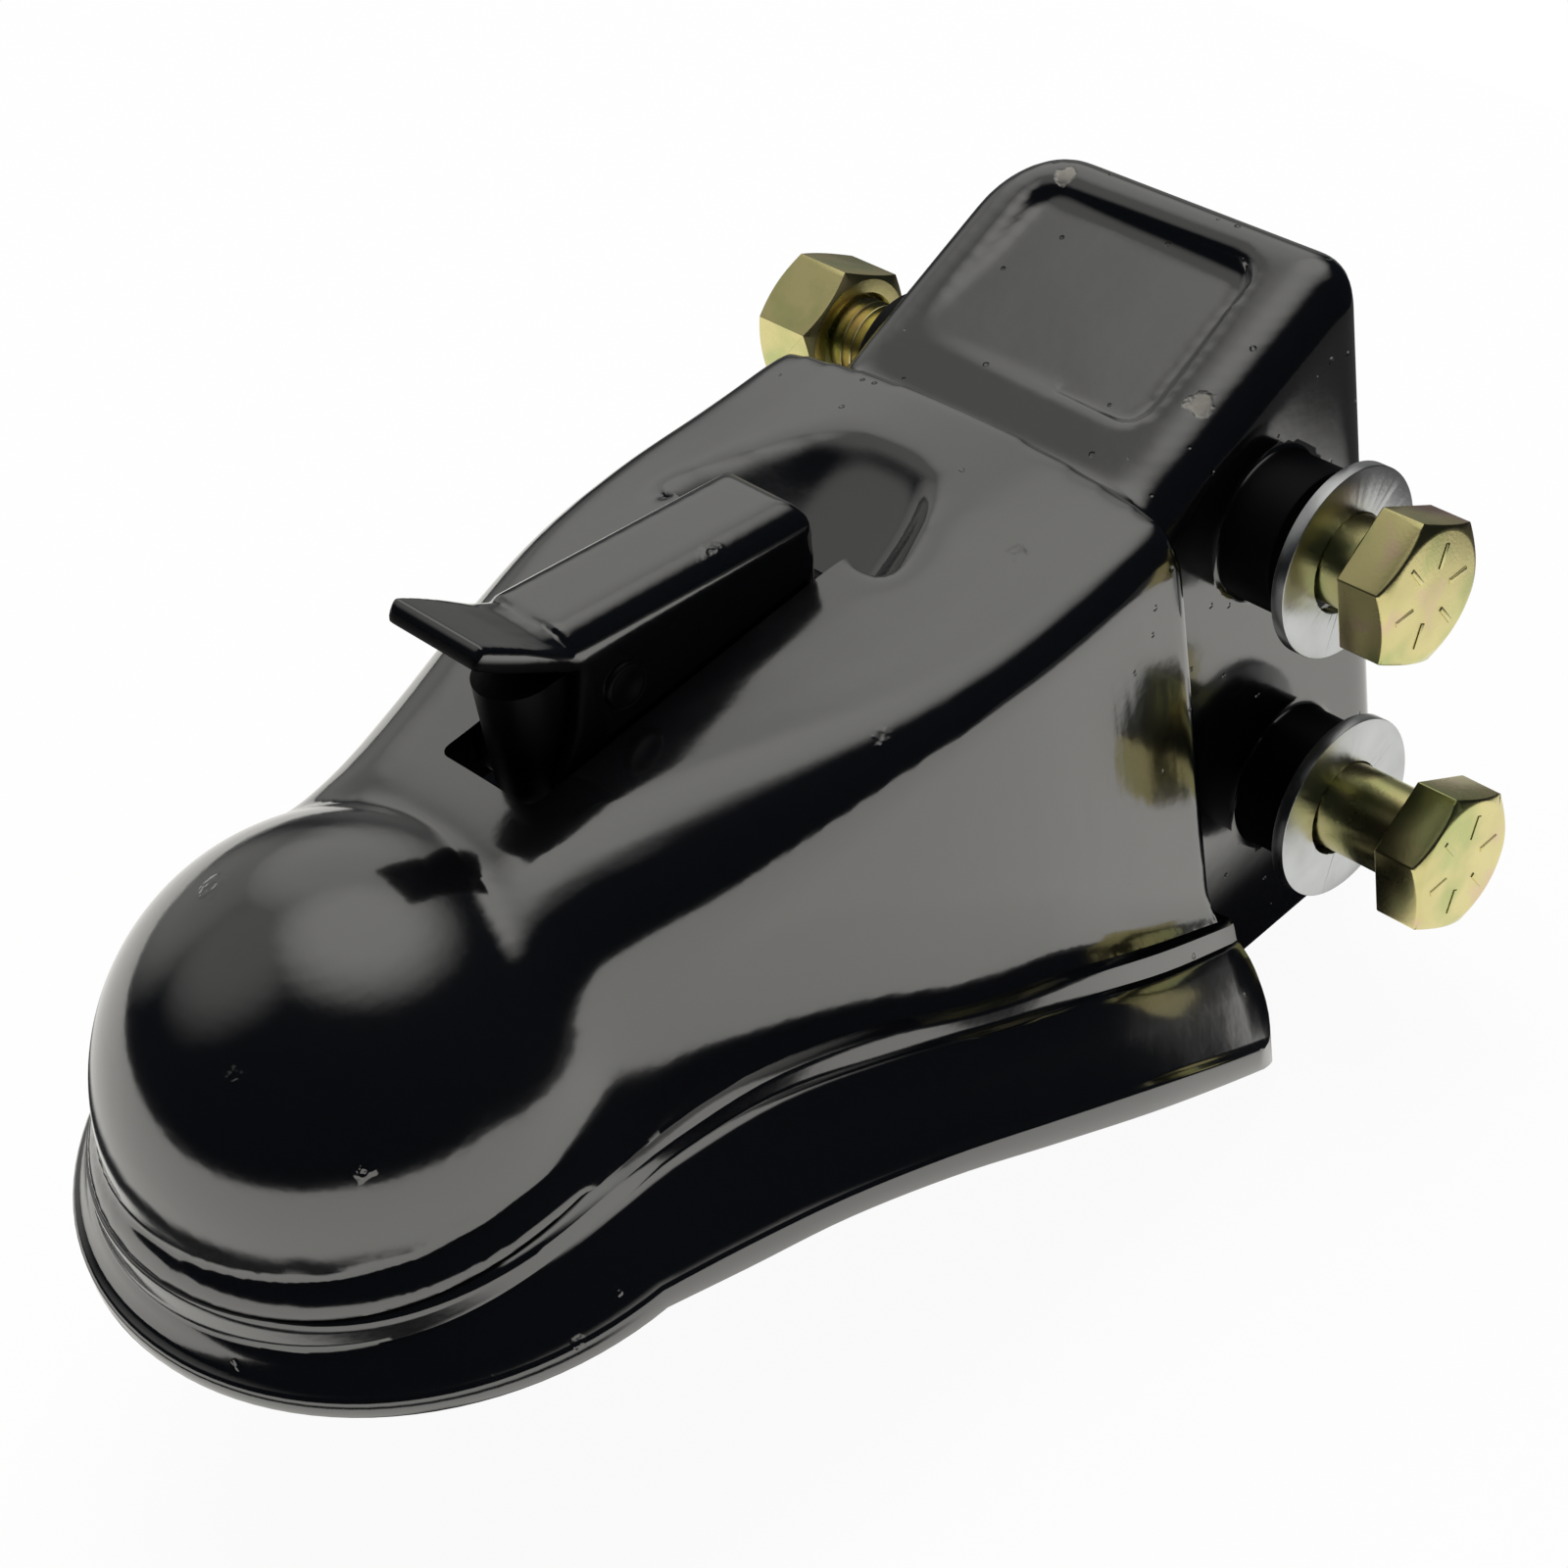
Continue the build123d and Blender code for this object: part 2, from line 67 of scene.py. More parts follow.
# Cross-sections of the casting in millimetres, from the neck to the shoulder: place along Y, top,
# fall of the crowned top to its edge, corner radius, half width, then half width and height of the
# foot of the flank, of the shelf's inner and outer edge and of the rim, and the underside.
Station = namedtuple(
    "Station", "y top crown corner half foot_x foot_z in_x in_z out_x out_z rim_x rim_z under"
)
STATIONS = [
    (7.5, 28.0, 0.5, 15.0, 36.5, 39.6, 8.5, 44.6, -1.5, 47.2, -5.2, 55.8, -15.2, -20.0),
    (22.0, 34.6, 0.4, 19.0, 33.0, 33.8, 14.5, 42.8, -3.4, 47.2, -6.2, 57.0, -18.1, -23.6),
    (40.0, 36.2, 0.4, 19.5, 37.4, 37.6, 14.5, 44.6, -3.8, 49.6, -7.1, 59.6, -21.3, -26.6),
    (60.0, 37.8, 1.2, 15.5, 41.9, 42.0, 12.0, 47.8, -8.7, 52.6, -12.9, 62.2, -27.1, -32.6),
    (80.0, 39.3, 3.0, 10.5, 45.4, 45.5, 0.0, 50.2, -17.6, 55.2, -20.7, 64.6, -34.6, -40.6),
    (100.0, 40.6, 4.7, 8.0, 46.9, 47.1, -12.0, 51.4, -25.2, 56.4, -29.4, 66.2, -43.0, -49.2),
    (120.0, 41.6, 5.4, 7.5, 46.4, 46.8, -28.5, 49.9, -36.0, 54.2, -41.0, 65.2, -53.9, -59.4),
    (141.0, 42.2, 4.4, 7.0, 45.2, 45.7, -43.0, 47.4, -47.4, 50.2, -52.3, 62.8, -66.0, -70.8),
]

# Rings that lead from the dome down to the skirt, in millimetres: centre along Y, radius,
# height in front and at the sides.
FOOT_RINGS = [
    (0.0, 30.0, 0.0, 3.0),
    (0.0, 40.6, 4.5, 6.5),
    (0.0, 41.1, 2.4, 4.5),
    (0.4, 42.9, -1.2, 2.2),
    (0.7, 44.5, -4.2, 0.2),
    (0.7, 44.7, -4.9, -0.5),
    (0.7, 44.5, -9.0, -5.0),
    (0.7, 44.5, -16.0, -16.0),
]

# Lines of the skirt in millimetres: centre and radius round the dome, height in front and at the
# sides, names of the station's half width and height, rear end and radius of the rear corner.
SHELF_IN = (1.0, 45.2, -5.5, -1.5, "in_x", "in_z", 150.0, 2.0)
SHELF_OUT = (3.5, 48.0, -10.9, -5.4, "out_x", "out_z", 151.0, 3.0)
RIM_EDGE = (7.5, 55.8, -15.9, -15.2, "rim_x", "rim_z", 152.0, 12.0)
RIM_UNDER = (7.5, 55.8, -20.0, -20.0, "rim_x", "under", 152.0, 12.0)
SKIRT_REAR = 141.0
SKIRT_CORNER = 14.0
SKIRT_CENTRE = 50.0
# Stretch along Y in which lines round the dome rise from their front to their side height.
NOSE = (-38, 6)

# Dome, rear box, its panel, bolt axes and pads, and the pivot pin, in millimetres.
DOME_R = 41.15
BOX_FRONT = 141.0
BOX_EDGE = 35.5
BOX_SLOPE = math.tan(math.radians(21.2))
BOX_WALL = 9
PANEL = [(-24.2, 152.9), (24.2, 152.9), (23.0, 184.7), (-23.0, 184.7)]
BOLT_Y = 166.9
BOLT_HEIGHTS = (17.6, -37.0)
BOLT_D = 15.875
BOLT_HOLE_R = 8.29
BOSS_R = 13.0
BOSS_RIGHT = 49.6
BOSS_LEFT = -45.2
OPEN_BELOW = -130.0
PIN_Y, PIN_Z, PIN_HALF = 55.0, 44.4, 10.8

# Roof line of the lever: a point on it, its run and its fall, in millimetres.
ROOF_Y, ROOF_Z = 47.0, 58.8
ROOF_RUN, ROOF_FALL = 49.0, -5.8

# Side view of the lever: place along Y and height.
LEVER_SIDE = [(47.0, 62.0), (88.0, 62.0), (92.6, 53.6), (94.6, 52.4), (95.6, 50.4), (95.2, 44.0)]
LEVER_SIDE += [(93.0, 28.0), (40.5, 28.0), (39.5, 29.0), (40.3, 35.0), (45.2, 42.5), (48.2, 52.0)]

# Thumb tab from its lip to the roof, in millimetres: place along Y, height of the top,
# slope, half width, thickness and fall of the sides.
TAB_ROWS = [
    (31.6, 66.0, 34.0, 9.8, 2.4, 0.0),
    (32.4, 66.4, 34.0, 10.4, 3.9, 0.0),
    (35.6, 64.3, 34.0, 10.5, 4.2, 0.0),
    (40.0, 61.4, 32.0, 10.4, 4.0, 0.3),
    (44.0, 59.2, 24.0, 10.2, 3.6, 1.4),
    (48.0, 58.1, 12.0, 9.9, 3.2, 3.6),
    (52.0, 57.7, 7.0, 9.6, 3.0, 4.6),
    (58.0, 57.0, 7.0, 9.0, 2.6, 5.0),
]

# Share of the width across flats at which the ends of heads and nuts are chamfered.
CHAMFER = 0.475

# Chips down to the metal and nibs under the paint: place in millimetres and size.
CHIPS = [
    ((-20.3, 187.0, 53.0), 2.6),
    ((34.8, 190.8, 49.0), 2.2),
    ((31.8, 160.3, 41.9), 3.2),
]
NIBS = [
    ((-12.0, -8.7, 38.2), 3.6),
    ((13.0, -25.9, 29.0), 3.2),
    ((31.1, -20.6, 17.1), 2.2),
    ((40.4, 77.0, 32.9), 3.0),
    ((31.2, 117.8, 39.5), 3.2),
    ((40.4, -7.5, -4.5), 1.4),
    ((53.1, 1.3, -12.9), 1.4),
    ((18.9, -44.6, -14.0), 2.6),
    ((48.2, -19.4, -14.0), 2.8),
    ((53.7, -7.5, -15.1), 2.0),
    ((7.6, 77.0, 54.0), 3.2),
]

# Most that noise moves the outline of a chip or nib, in metres, and cells per metre for pits.
DRIFT = 0.0035
PIT_SCALE = 170.0

# Soft boxes of the room: direction, cosines at the edge and the full light, and level.
SOFT_BOXES = [
    ((-0.12, 0.32, 0.94), 0.76, 0.985, 1.0),
    ((-0.62, 0.50, 0.60), 0.80, 0.985, 0.74),
    ((-0.60, -0.20, 0.77), 0.80, 0.99, 0.37),
    ((-0.90, 0.10, 0.30), 0.84, 0.99, 0.42),
    ((-0.60, 0.78, -0.18), 0.88, 0.98, 0.20),
]


def measure(name, description, value):
    """Property for a length that is given in millimetres."""
    return FloatProperty(name=name, description=description, default=value * MM, unit="LENGTH")


def tone(name, description, value):
    """Property for a colour."""
    return FloatVectorProperty(name=name, description=description, default=value, subtype="COLOR")


class CastingSizes(bpy.types.PropertyGroup):
    """Sizes of the cast body."""

    dome: measure("Dome", "Outer radius of the dome", DOME_R)
    socket: measure("Socket", "Radius of the ball socket", 29.87)
    wall: measure("Wall", "Thickness of the casting", 8.0)
    grain: measure("Grain", "Spacing of the finished mesh", 1.12)
    box_left: measure("Box left", "Left side of the rear box", -36.2)
    box_right: measure("Box right", "Right side of the rear box", 38.8)
    box_rear: measure("Box rear", "Rear end of the box along Y", 195.4)
    slot_half: measure("Slot half width", "Half width of the latch slot", 10.6)


class LatchSizes(bpy.types.PropertyGroup):
    """Sizes of the latch lever and its pin."""

    half: measure("Half width", "Half width of the lever", 10.0)
    sheet: measure("Sheet", "Thickness of the folded sheet", 2.8)
    edge: measure("Edge", "Outer radius of the fold", 5.4)
    grain: measure("Grain", "Spacing of the finished mesh", 0.42)
    pin: measure("Pin", "Diameter of the pivot pin", 7.9)


class FastenerSizes(bpy.types.PropertyGroup):
    """Sizes of the clamping bolts, nuts and washers."""

    shank: measure("Shank", "Diameter of the bolt", BOLT_D)
    length: measure("Length", "Length of the bolt under its head", 127.0)
    flats: measure("Across flats", "Width of head and nut", 23.81)
    head: measure("Head", "Height of the bolt head", 9.68)
    nut: measure("Nut", "Height of the nut", 13.9)
    pitch: measure("Pitch", "Pitch of the thread", 2.309)
    threaded: measure("Threaded", "Length of the thread", 44.0)


class FinishColours(bpy.types.PropertyGroup):
    """Colours of the finishes."""

    paint: tone("Paint", "Gloss black paint", (0.0032, 0.0034, 0.0042))
    bare: tone("Bare metal", "Metal under a chip", (0.46, 0.44, 0.40))
    yellow: tone("Yellow zinc", "Yellow plating", (0.78, 0.70, 0.33))
    green: tone("Green sheen", "Green sheen of the plating", (0.55, 0.60, 0.25))
    pink: tone("Pink sheen", "Pink sheen of the plating", (0.82, 0.56, 0.46))
    zinc: tone("Clear zinc", "Clear plating", (0.62, 0.64, 0.65))
    iron: tone("Iron", "Plain cast iron", (0.06, 0.06, 0.062))


class StageSettings(bpy.types.PropertyGroup):
    """Floor, light and camera."""

    floor: tone("Floor", "Colour of the floor", (0.96, 0.96, 0.955))
    lens: FloatProperty(
        name="Lens", description="Focal length in millimetres", default=78.2, min=10, max=300
    )


# Working helpers


def rest():
    """Leave edit mode and select nothing."""
    if bpy.context.object and bpy.context.object.mode != "OBJECT":
        bpy.ops.object.mode_set(mode="OBJECT")
    bpy.ops.object.select_all(action="DESELECT")


def only(piece):
    """Select one object alone and make it active."""
    rest()
    piece.select_set(True)
    bpy.context.view_layer.objects.active = piece
    return piece


def edit():
    """Open the active piece's mesh with everything selected."""
    bpy.ops.object.mode_set(mode="EDIT")
    bpy.ops.mesh.select_all(action="SELECT")


def done():
    """Close the active piece's mesh."""
    bpy.ops.object.mode_set(mode="OBJECT")


def pick(kind, test):
    """In edit mode, select the vertices, edges or faces that pass a test."""
    mesh = bmesh.from_edit_mesh(bpy.context.object.data)
    bpy.ops.mesh.select_mode(type=kind)
    bpy.ops.mesh.select_all(action="DESELECT")
    group = {"VERT": mesh.verts, "EDGE": mesh.edges, "FACE": mesh.faces}[kind]
    for item in group:
        item.select_set(bool(test(item)))
    mesh.select_flush_mode()
    bmesh.update_edit_mesh(bpy.context.object.data)


def middle(edge):
    """Middle of an edge."""
    return (edge.verts[0].co + edge.verts[1].co) / 2


def along(edge):
    """Direction of an edge."""
    return (edge.verts[1].co - edge.verts[0].co).normalized()


def settle():
    """Put the active piece's place into its mesh."""
    bpy.ops.object.transform_apply(location=True, rotation=True, scale=True)


def ring(points):
    """Closed ring of edges through points."""
    rest()
    bpy.ops.mesh.primitive_circle_add(vertices=len(points), radius=1)
    piece = bpy.context.object
    for vertex, point in zip(piece.data.vertices, points):
        vertex.co = point
    return piece


def merge(pieces):
    """Join objects into one mesh."""
    rest()
    for piece in pieces:
        piece.select_set(True)
    bpy.context.view_layer.objects.active = pieces[0]
    bpy.ops.object.join()
    return pieces[0]


def loft(sections):
    """Closed skin over rings that follow each other."""
    skin = merge([ring(points) for points in sections])
    edit()
    bpy.ops.mesh.bridge_edge_loops()
    bpy.ops.mesh.select_all(action="SELECT")
    bpy.ops.mesh.fill_holes(sides=0)
    bpy.ops.mesh.select_all(action="SELECT")
    bpy.ops.mesh.normals_make_consistent(inside=False)
    done()
    return skin


def modify(piece, kind, **settings):
    """Add a modifier to a piece and apply it."""
    only(piece)
    step = piece.modifiers.new(kind, kind)
    for key, value in settings.items():
        setattr(step, key, value)
    bpy.ops.object.modifier_apply(modifier=step.name)
    return piece


def knit(piece, grain, rounds):
    """Turn merged solids into one even skin and smooth it."""
    modify(piece, "REMESH", mode="VOXEL", voxel_size=grain, adaptivity=0.0)
    modify(piece, "SMOOTH", factor=0.5, iterations=rounds)


def combine(piece, other, operation):
    """Cut, join or intersect a piece with another one, which is used up."""
    modify(piece, "BOOLEAN", operation=operation, object=other, solver="EXACT")
    bpy.data.objects.remove(other)
    return piece


def copy_of(piece, move):
    """Copy of a piece with its own mesh, moved into place."""
    only(piece)
    bpy.ops.object.duplicate()
    twin = bpy.context.object
    bpy.ops.transform.translate(value=move)
    settle()
    return twin


def place(piece, name, body, nodes, material, angle=35.0):
    """Name a finished piece, smooth it, and tie it to its body and finish."""
    only(piece)
    settle()
    piece.name = name
    piece.data.name = name
    bpy.ops.object.shade_smooth_by_angle(angle=math.radians(angle))
    piece.data.materials.clear()
    piece.data.materials.append(material)
    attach(piece, body)
    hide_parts(*nodes)
    return piece


def repaint(material, *nodes):
    """Give a finish to CAD pieces that keep their shape."""
    for node in nodes:
        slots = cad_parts[node].data.materials
        slots.clear()
        slots.append(material)


def drum(radius, depth, centre, axis, sides=64):
    """Cylinder of a radius and depth about an axis, centred on a point."""
    rest()
    turn = Vector((0, 0, 1)).rotation_difference(Vector(axis)).to_euler()
    bpy.ops.mesh.primitive_cylinder_add(
        vertices=sides, radius=radius, depth=depth, location=centre, rotation=turn
    )
    settle()
    return bpy.context.object


def block(low, high):
    """Box between two corners."""
    rest()
    low, high = Vector(low), Vector(high)
    bpy.ops.mesh.primitive_cube_add(size=1, location=(low + high) / 2)
    piece = bpy.context.object
    piece.scale = high - low
    settle()
    return piece


# Shading helpers


class Wire:
    """One value of a finish, so that sums of values read as arithmetic."""

    def __init__(self, finish, socket):
        self.finish = finish
        self.socket = socket

    def step(self, operation, first, second):
        return self.finish.node("ShaderNodeMath", {"operation": operation}, {0: first, 1: second})

    def __add__(self, other):
        return self.step("ADD", self, other)

    def __radd__(self, other):
        return self.step("ADD", other, self)

    def __sub__(self, other):
        return self.step("SUBTRACT", self, other)

    def __rsub__(self, other):
        return self.step("SUBTRACT", other, self)

    def __mul__(self, other):
        return self.step("MULTIPLY", self, other)

    def __gt__(self, other):
        return self.step("GREATER_THAN", self, other)

    def most(self, other):
        return self.step("MAXIMUM", self, other)


class Finish:
    """The nodes of a material or a world."""

    def __init__(self, owner):
        self.owner = owner
        owner.use_nodes = True
        self.tree = owner.node_tree
        self.tree.nodes.clear()

    def node(self, kind, settings=None, sockets=None, output=0):
        """Add a node, set it up, feed its sockets and give back one output."""
        made = self.tree.nodes.new(kind)
        for key, value in (settings or {}).items():
            if key == "stops":
                band = made.color_ramp
                while len(band.elements) < len(value):
                    band.elements.new(0.5)
                for element, (at, colour) in zip(band.elements, value):
                    element.position = at
                    element.color = colour
            else:
                setattr(made, key, value)
        for key, value in (sockets or {}).items():
            if isinstance(value, Wire):
                self.tree.links.new(value.socket, made.inputs[key])
            else:
                made.inputs[key].default_value = value
        return Wire(self, made.outputs[output]) if made.outputs else None

    def ramp(self, value, start, end, first, last):
        """One level up to the start of a range, another past its end, smooth between."""
        sockets = {"Value": value, "From Min": start, "From Max": end, "To Min": first, "To Max": last}
        return self.node("ShaderNodeMapRange", {"interpolation_type": "SMOOTHSTEP"}, sockets)

    def spot(self, value, soft):
        """1 up to the first of two values, 0 past the second, smooth between."""
        return self.ramp(value, *soft, 1.0, 0.0)

    def here(self):
        """Place on the piece, in metres."""
        return self.node("ShaderNodeTexCoord", output="Object")

    def split(self, vector):
        """The three parts of a vector."""
        first = self.node("ShaderNodeSeparateXYZ", None, {"Vector": vector})
        return [Wire(self, output) for output in first.socket.node.outputs]

    def noise(self, place_on, scale, detail, output=0):
        """Cloudy pattern."""
        sockets = {"Vector": place_on, "Scale": scale, "Detail": detail}
        return self.node("ShaderNodeTexNoise", None, sockets, output)

    def away(self, place_on, point):
        """Distance of a place from a point."""
        return self.node(
            "ShaderNodeVectorMath", {"operation": "DISTANCE"}, {0: place_on, 1: point}, output="Value"
        )

    def mix(self, factor, first, second):
        """Blend of two colours."""
        return self.node(
            "ShaderNodeMix",
            {"data_type": "RGBA"},
            {"Factor": factor, 6: first, 7: second},
            output=2,
        )

    def bump(self, strength, distance, height):
        """Normal of a surface with a fine relief."""
        sockets = {"Strength": strength, "Distance": distance, "Height": height}
        return self.node("ShaderNodeBump", None, sockets)

    def surface(self, sockets):
        """Surface of paint or metal."""
        return self.node("ShaderNodeBsdfPrincipled", None, sockets)

    def close(self, shader, end="ShaderNodeOutputMaterial"):
        """Join a shader to the output and give back what it belongs to."""
        self.node(end, None, {"Surface": shader})
        return self.owner


def new_finish(name):
    """Empty material."""
    return Finish(bpy.data.materials.new(name))


def rgba(colour, share=1.0):
    """Colour, made darker or lighter, with full cover."""
    return (*(share * c for c in colour), 1.0)


def either(first, second):
    """The larger of two values, of which the first may be missing."""
    return second if first is None else first.most(second)


def gloss_paint(name, colours, chips, nibs, pits, tab=False, shaded_pads=()):
    """Thick gloss black paint with a soft unevenness, runs, nibs, pits and chips, and dull patches of
    painted shade.
    """
    finish = new_finish(name)
    here = finish.here()
    across, length, rise = finish.split(here)
    wave = finish.noise(here, 55.0, 1.0)
    peel = finish.noise(here, 330.0, 2.0)
    rough = finish.noise(here, 900.0, 3.0)
    ragged = finish.noise(here, 420.0, 3.0)
    sway = finish.noise(here, 380.0, 2.0, "Color")
    shift = finish.node(
        "ShaderNodeVectorMath",
        {"operation": "MULTIPLY_ADD"},
        {0: sway, 1: (DRIFT, DRIFT, DRIFT), 2: here},
        output="Vector",
    )

    def near(point):
        """Distance from a point in millimetres, uneven from side to side."""
        return finish.away(shift, tuple(c * MM + DRIFT / 2 for c in point))

    height = wave * 0.22 + peel * 0.035
    bare = None
    for point, size in chips:
        mask = finish.spot(near(point), (size * 0.55 * MM, size * 0.8 * MM))
        bare = either(bare, mask)
        height = height - mask * 0.35
    for point, size in nibs:
        reach = near(point)
        bump = finish.spot(reach, (size * 0.25 * MM, size * 0.85 * MM))
        dent = finish.spot(reach, (size * 0.1 * MM, size * 0.45 * MM))
        height = height + bump * 0.30 - dent * 0.22
    if pits:
        # Pits are on the rear of the casting only, runs on its flanks only.
        cells = {"Vector": here, "Scale": PIT_SCALE}
        hollow = finish.node("ShaderNodeTexVoronoi", None, cells, output="Distance")
        lot = finish.node("ShaderNodeTexVoronoi", None, cells, output="Color")
        lot = finish.node("ShaderNodeSeparateColor", None, {"Color": lot})
        behind = 1.0 - finish.spot(length, (0.118, 0.14))
        height = height - finish.spot(hollow, (0.05, 0.11)) * (lot > 0.45) * behind * 0.7
        drawn = finish.node("ShaderNodeMapping", None, {"Vector": here, "Scale": (1.0, 1.0, 0.12)})
        side = 1.0 - finish.spot(across * across, (0.040**2, 0.045**2))
        side = side * finish.spot(rise, (0.02, 0.034)) * (1.0 - finish.spot(length, (0.06, 0.1)))
        side = side * finish.spot(0.0 - rise, (0.01, 0.03))
        height = height + finish.noise(drawn, 170.0, 2.0) * side * 0.22
    colour = finish.mix(peel, rgba(colours.paint), rgba(colours.paint, 1.5))
    metal = 0.0
    gloss = 0.10 + rough * 0.05
    if bare is not None:
        tint = finish.mix(ragged, rgba(colours.bare), rgba(colours.bare, 0.45))
        colour = finish.mix(bare, colour, tint)
        metal = bare * 0.8
        gloss = gloss + bare * 0.35
    shader = finish.surface(
        {
            "Base Color": colour,
            "Roughness": gloss,
            "Metallic": metal,
            "IOR": 1.7,
            "Specular IOR Level": 1.0,
            "Coat Weight": 0.35,
            "Coat Roughness": 0.07,
            "Normal": finish.bump(1.0, 0.0006, height),
        }
    )
    hidden = None
    if tab:
        # Painted shade: the part of the lever that lies under the thumb tab gets a dull, barely
        # reflecting paint, standing in for the shade the tab casts.
        hidden = finish.spot(rise + length * 0.6745, (0.0852, 0.0866))
        hidden = hidden * finish.spot(length, (0.049, 0.0505))
    # Painted shade: on the pads round the bolts, outside the box's sides, the paint turns dull and
    # dark, standing in for the shade of the washers.
    for y, z in shaded_pads:
        ahead, above = length - y * MM, rise - z * MM
        pad = finish.spot(ahead * ahead + above * above, ((13.3 * MM) ** 2, (14.2 * MM) ** 2))
        inside = finish.spot(across, (38.9 * MM, 39.6 * MM))
        inside = inside * finish.spot(0.0 - across, (36.3 * MM, 37 * MM))
        hidden = either(hidden, pad * (1.0 - inside))
    if hidden is not None:
        # Painted shade: where the masks say, the paint turns dull and barely reflecting.
        dull = {"Base Color": rgba(colours.paint), "Roughness": 0.5, "Specular IOR Level": 0.08}
        dull = finish.surface(dull)
        shader = finish.node("ShaderNodeMixShader", None, {0: hidden, 1: shader, 2: dull})
    return finish.close(shader)


def satin_black(name, colours):
    """Dull black paint on the post and the pin; its low reflection is partly a satin finish and partly
    painted shade of the thumb tab above the post.
    """
    finish = new_finish(name)
    here = finish.here()
    cloud = finish.noise(here, 120.0, 3.0)
    grit = finish.noise(here, 800.0, 3.0)
    return finish.close(
        finish.surface(
            {
                "Base Color": finish.mix(cloud, rgba(colours.paint), rgba(colours.paint, 1.6)),
                "Roughness": 0.34 + cloud * 0.1,
                # Painted shade: the low reflection stands in for the shade of the tab over the post.
                "Specular IOR Level": 0.12,
                "Normal": finish.bump(0.4, 0.0001, grit),
            }
        )
    )


def plate(finish, colour, rough, relief, metal=1.0):
    """Metal surface, joined to the output."""
    sockets = {"Base Color": colour, "Roughness": rough, "Metallic": metal, "Normal": relief}
    return finish.close(finish.surface(sockets))


def yellow_plate(name, colours):
    """Yellow zinc plating with green and pink sheen and fine turning marks."""
    finish = new_finish(name)
    here = finish.here()
    cloud = finish.noise(here, 70.0, 3.0)
    haze = finish.noise(here, 130.0, 2.0)
    fine = finish.noise(here, 1500.0, 3.0)
    stops = [
        (0.36, rgba(colours.green)),
        (0.50, rgba(colours.yellow)),
        (0.58, rgba(colours.yellow)),
        (0.70, rgba(colours.pink)),
    ]
    sheen = finish.node("ShaderNodeValToRGB", {"stops": stops}, {"Fac": cloud})
    colour = finish.mix(haze * 0.35, sheen, rgba(colours.yellow, 0.62))
    return plate(finish, colour, 0.20 + haze * 0.16, finish.bump(0.35, 0.00006, fine))


def clear_plate(name, colours):
    """Clear zinc plating with a fine crystal grain."""
    finish = new_finish(name)
    here = finish.here()
    cloud = finish.noise(here, 160.0, 3.0)
    fine = finish.noise(here, 1100.0, 3.0)
    colour = finish.mix(cloud, rgba(colours.zinc), rgba(colours.zinc, 0.78))
    return plate(finish, colour, 0.24 + cloud * 0.14, finish.bump(0.4, 0.00006, fine))


def plain_iron(name, colours):
    """Plain dark casting for what is hidden inside."""
    finish = new_finish(name)
    here = finish.here()
    cloud = finish.noise(here, 90.0, 3.0)
    grit = finish.noise(here, 700.0, 4.0)
    colour = finish.mix(cloud, rgba(colours.iron), rgba(colours.iron, 1.7))
    return plate(finish, colour, 0.55 + grit * 0.2, finish.bump(0.6, 0.0002, grit), 0.6)


# The cast body


def fade(value, start, end):
    """0 before start, 1 past end, smooth between."""
    t = min(max((value - start) / (end - start), 0.0), 1.0)
    return t * t * (3 - 2 * t)


def quarter(steps):
    """Cosine and sine in equal steps over a quarter turn."""
    turns = [math.radians(90 * k / steps) for k in range(steps + 1)]
    return [(math.cos(turn), math.sin(turn)) for turn in turns]


def between(column, y):
    """Smooth value of a station column at a place along Y."""
    places = [row[0] for row in STATIONS]
    if y <= places[0]:
        return column[0]
    if y >= places[-1]:
        return column[-1]
    i = max(k for k in range(len(places) - 1) if places[k] <= y)
    span = places[i + 1] - places[i]
    t = (y - places[i]) / span

    def slope(k):
        low, high = max(k - 1, 0), min(k + 1, len(places) - 1)
        return (column[high] - column[low]) / (places[high] - places[low])

    a, b = column[i], column[i + 1]
    m, n = slope(i) * span, slope(i + 1) * span
    t2, t3 = t * t, t * t * t
    return (2 * t3 - 3 * t2 + 1) * a + (t3 - 2 * t2 + t) * m + (3 * t2 - 2 * t3) * b + (t3 - t2) * n


def station(y):
    """Cross-section of the casting at a place along Y, in millimetres."""
    return Station(*(between(column, y) for column in zip(*STATIONS)))


def mirrored(half, y):
    """Points of the right half of a cross-section, and of the left half in reverse."""
    right = [Vector((x, y, z)) * MM for x, z in half]
    left = [Vector((-x, y, z)) * MM for x, z in reversed(half)]
    return right, left


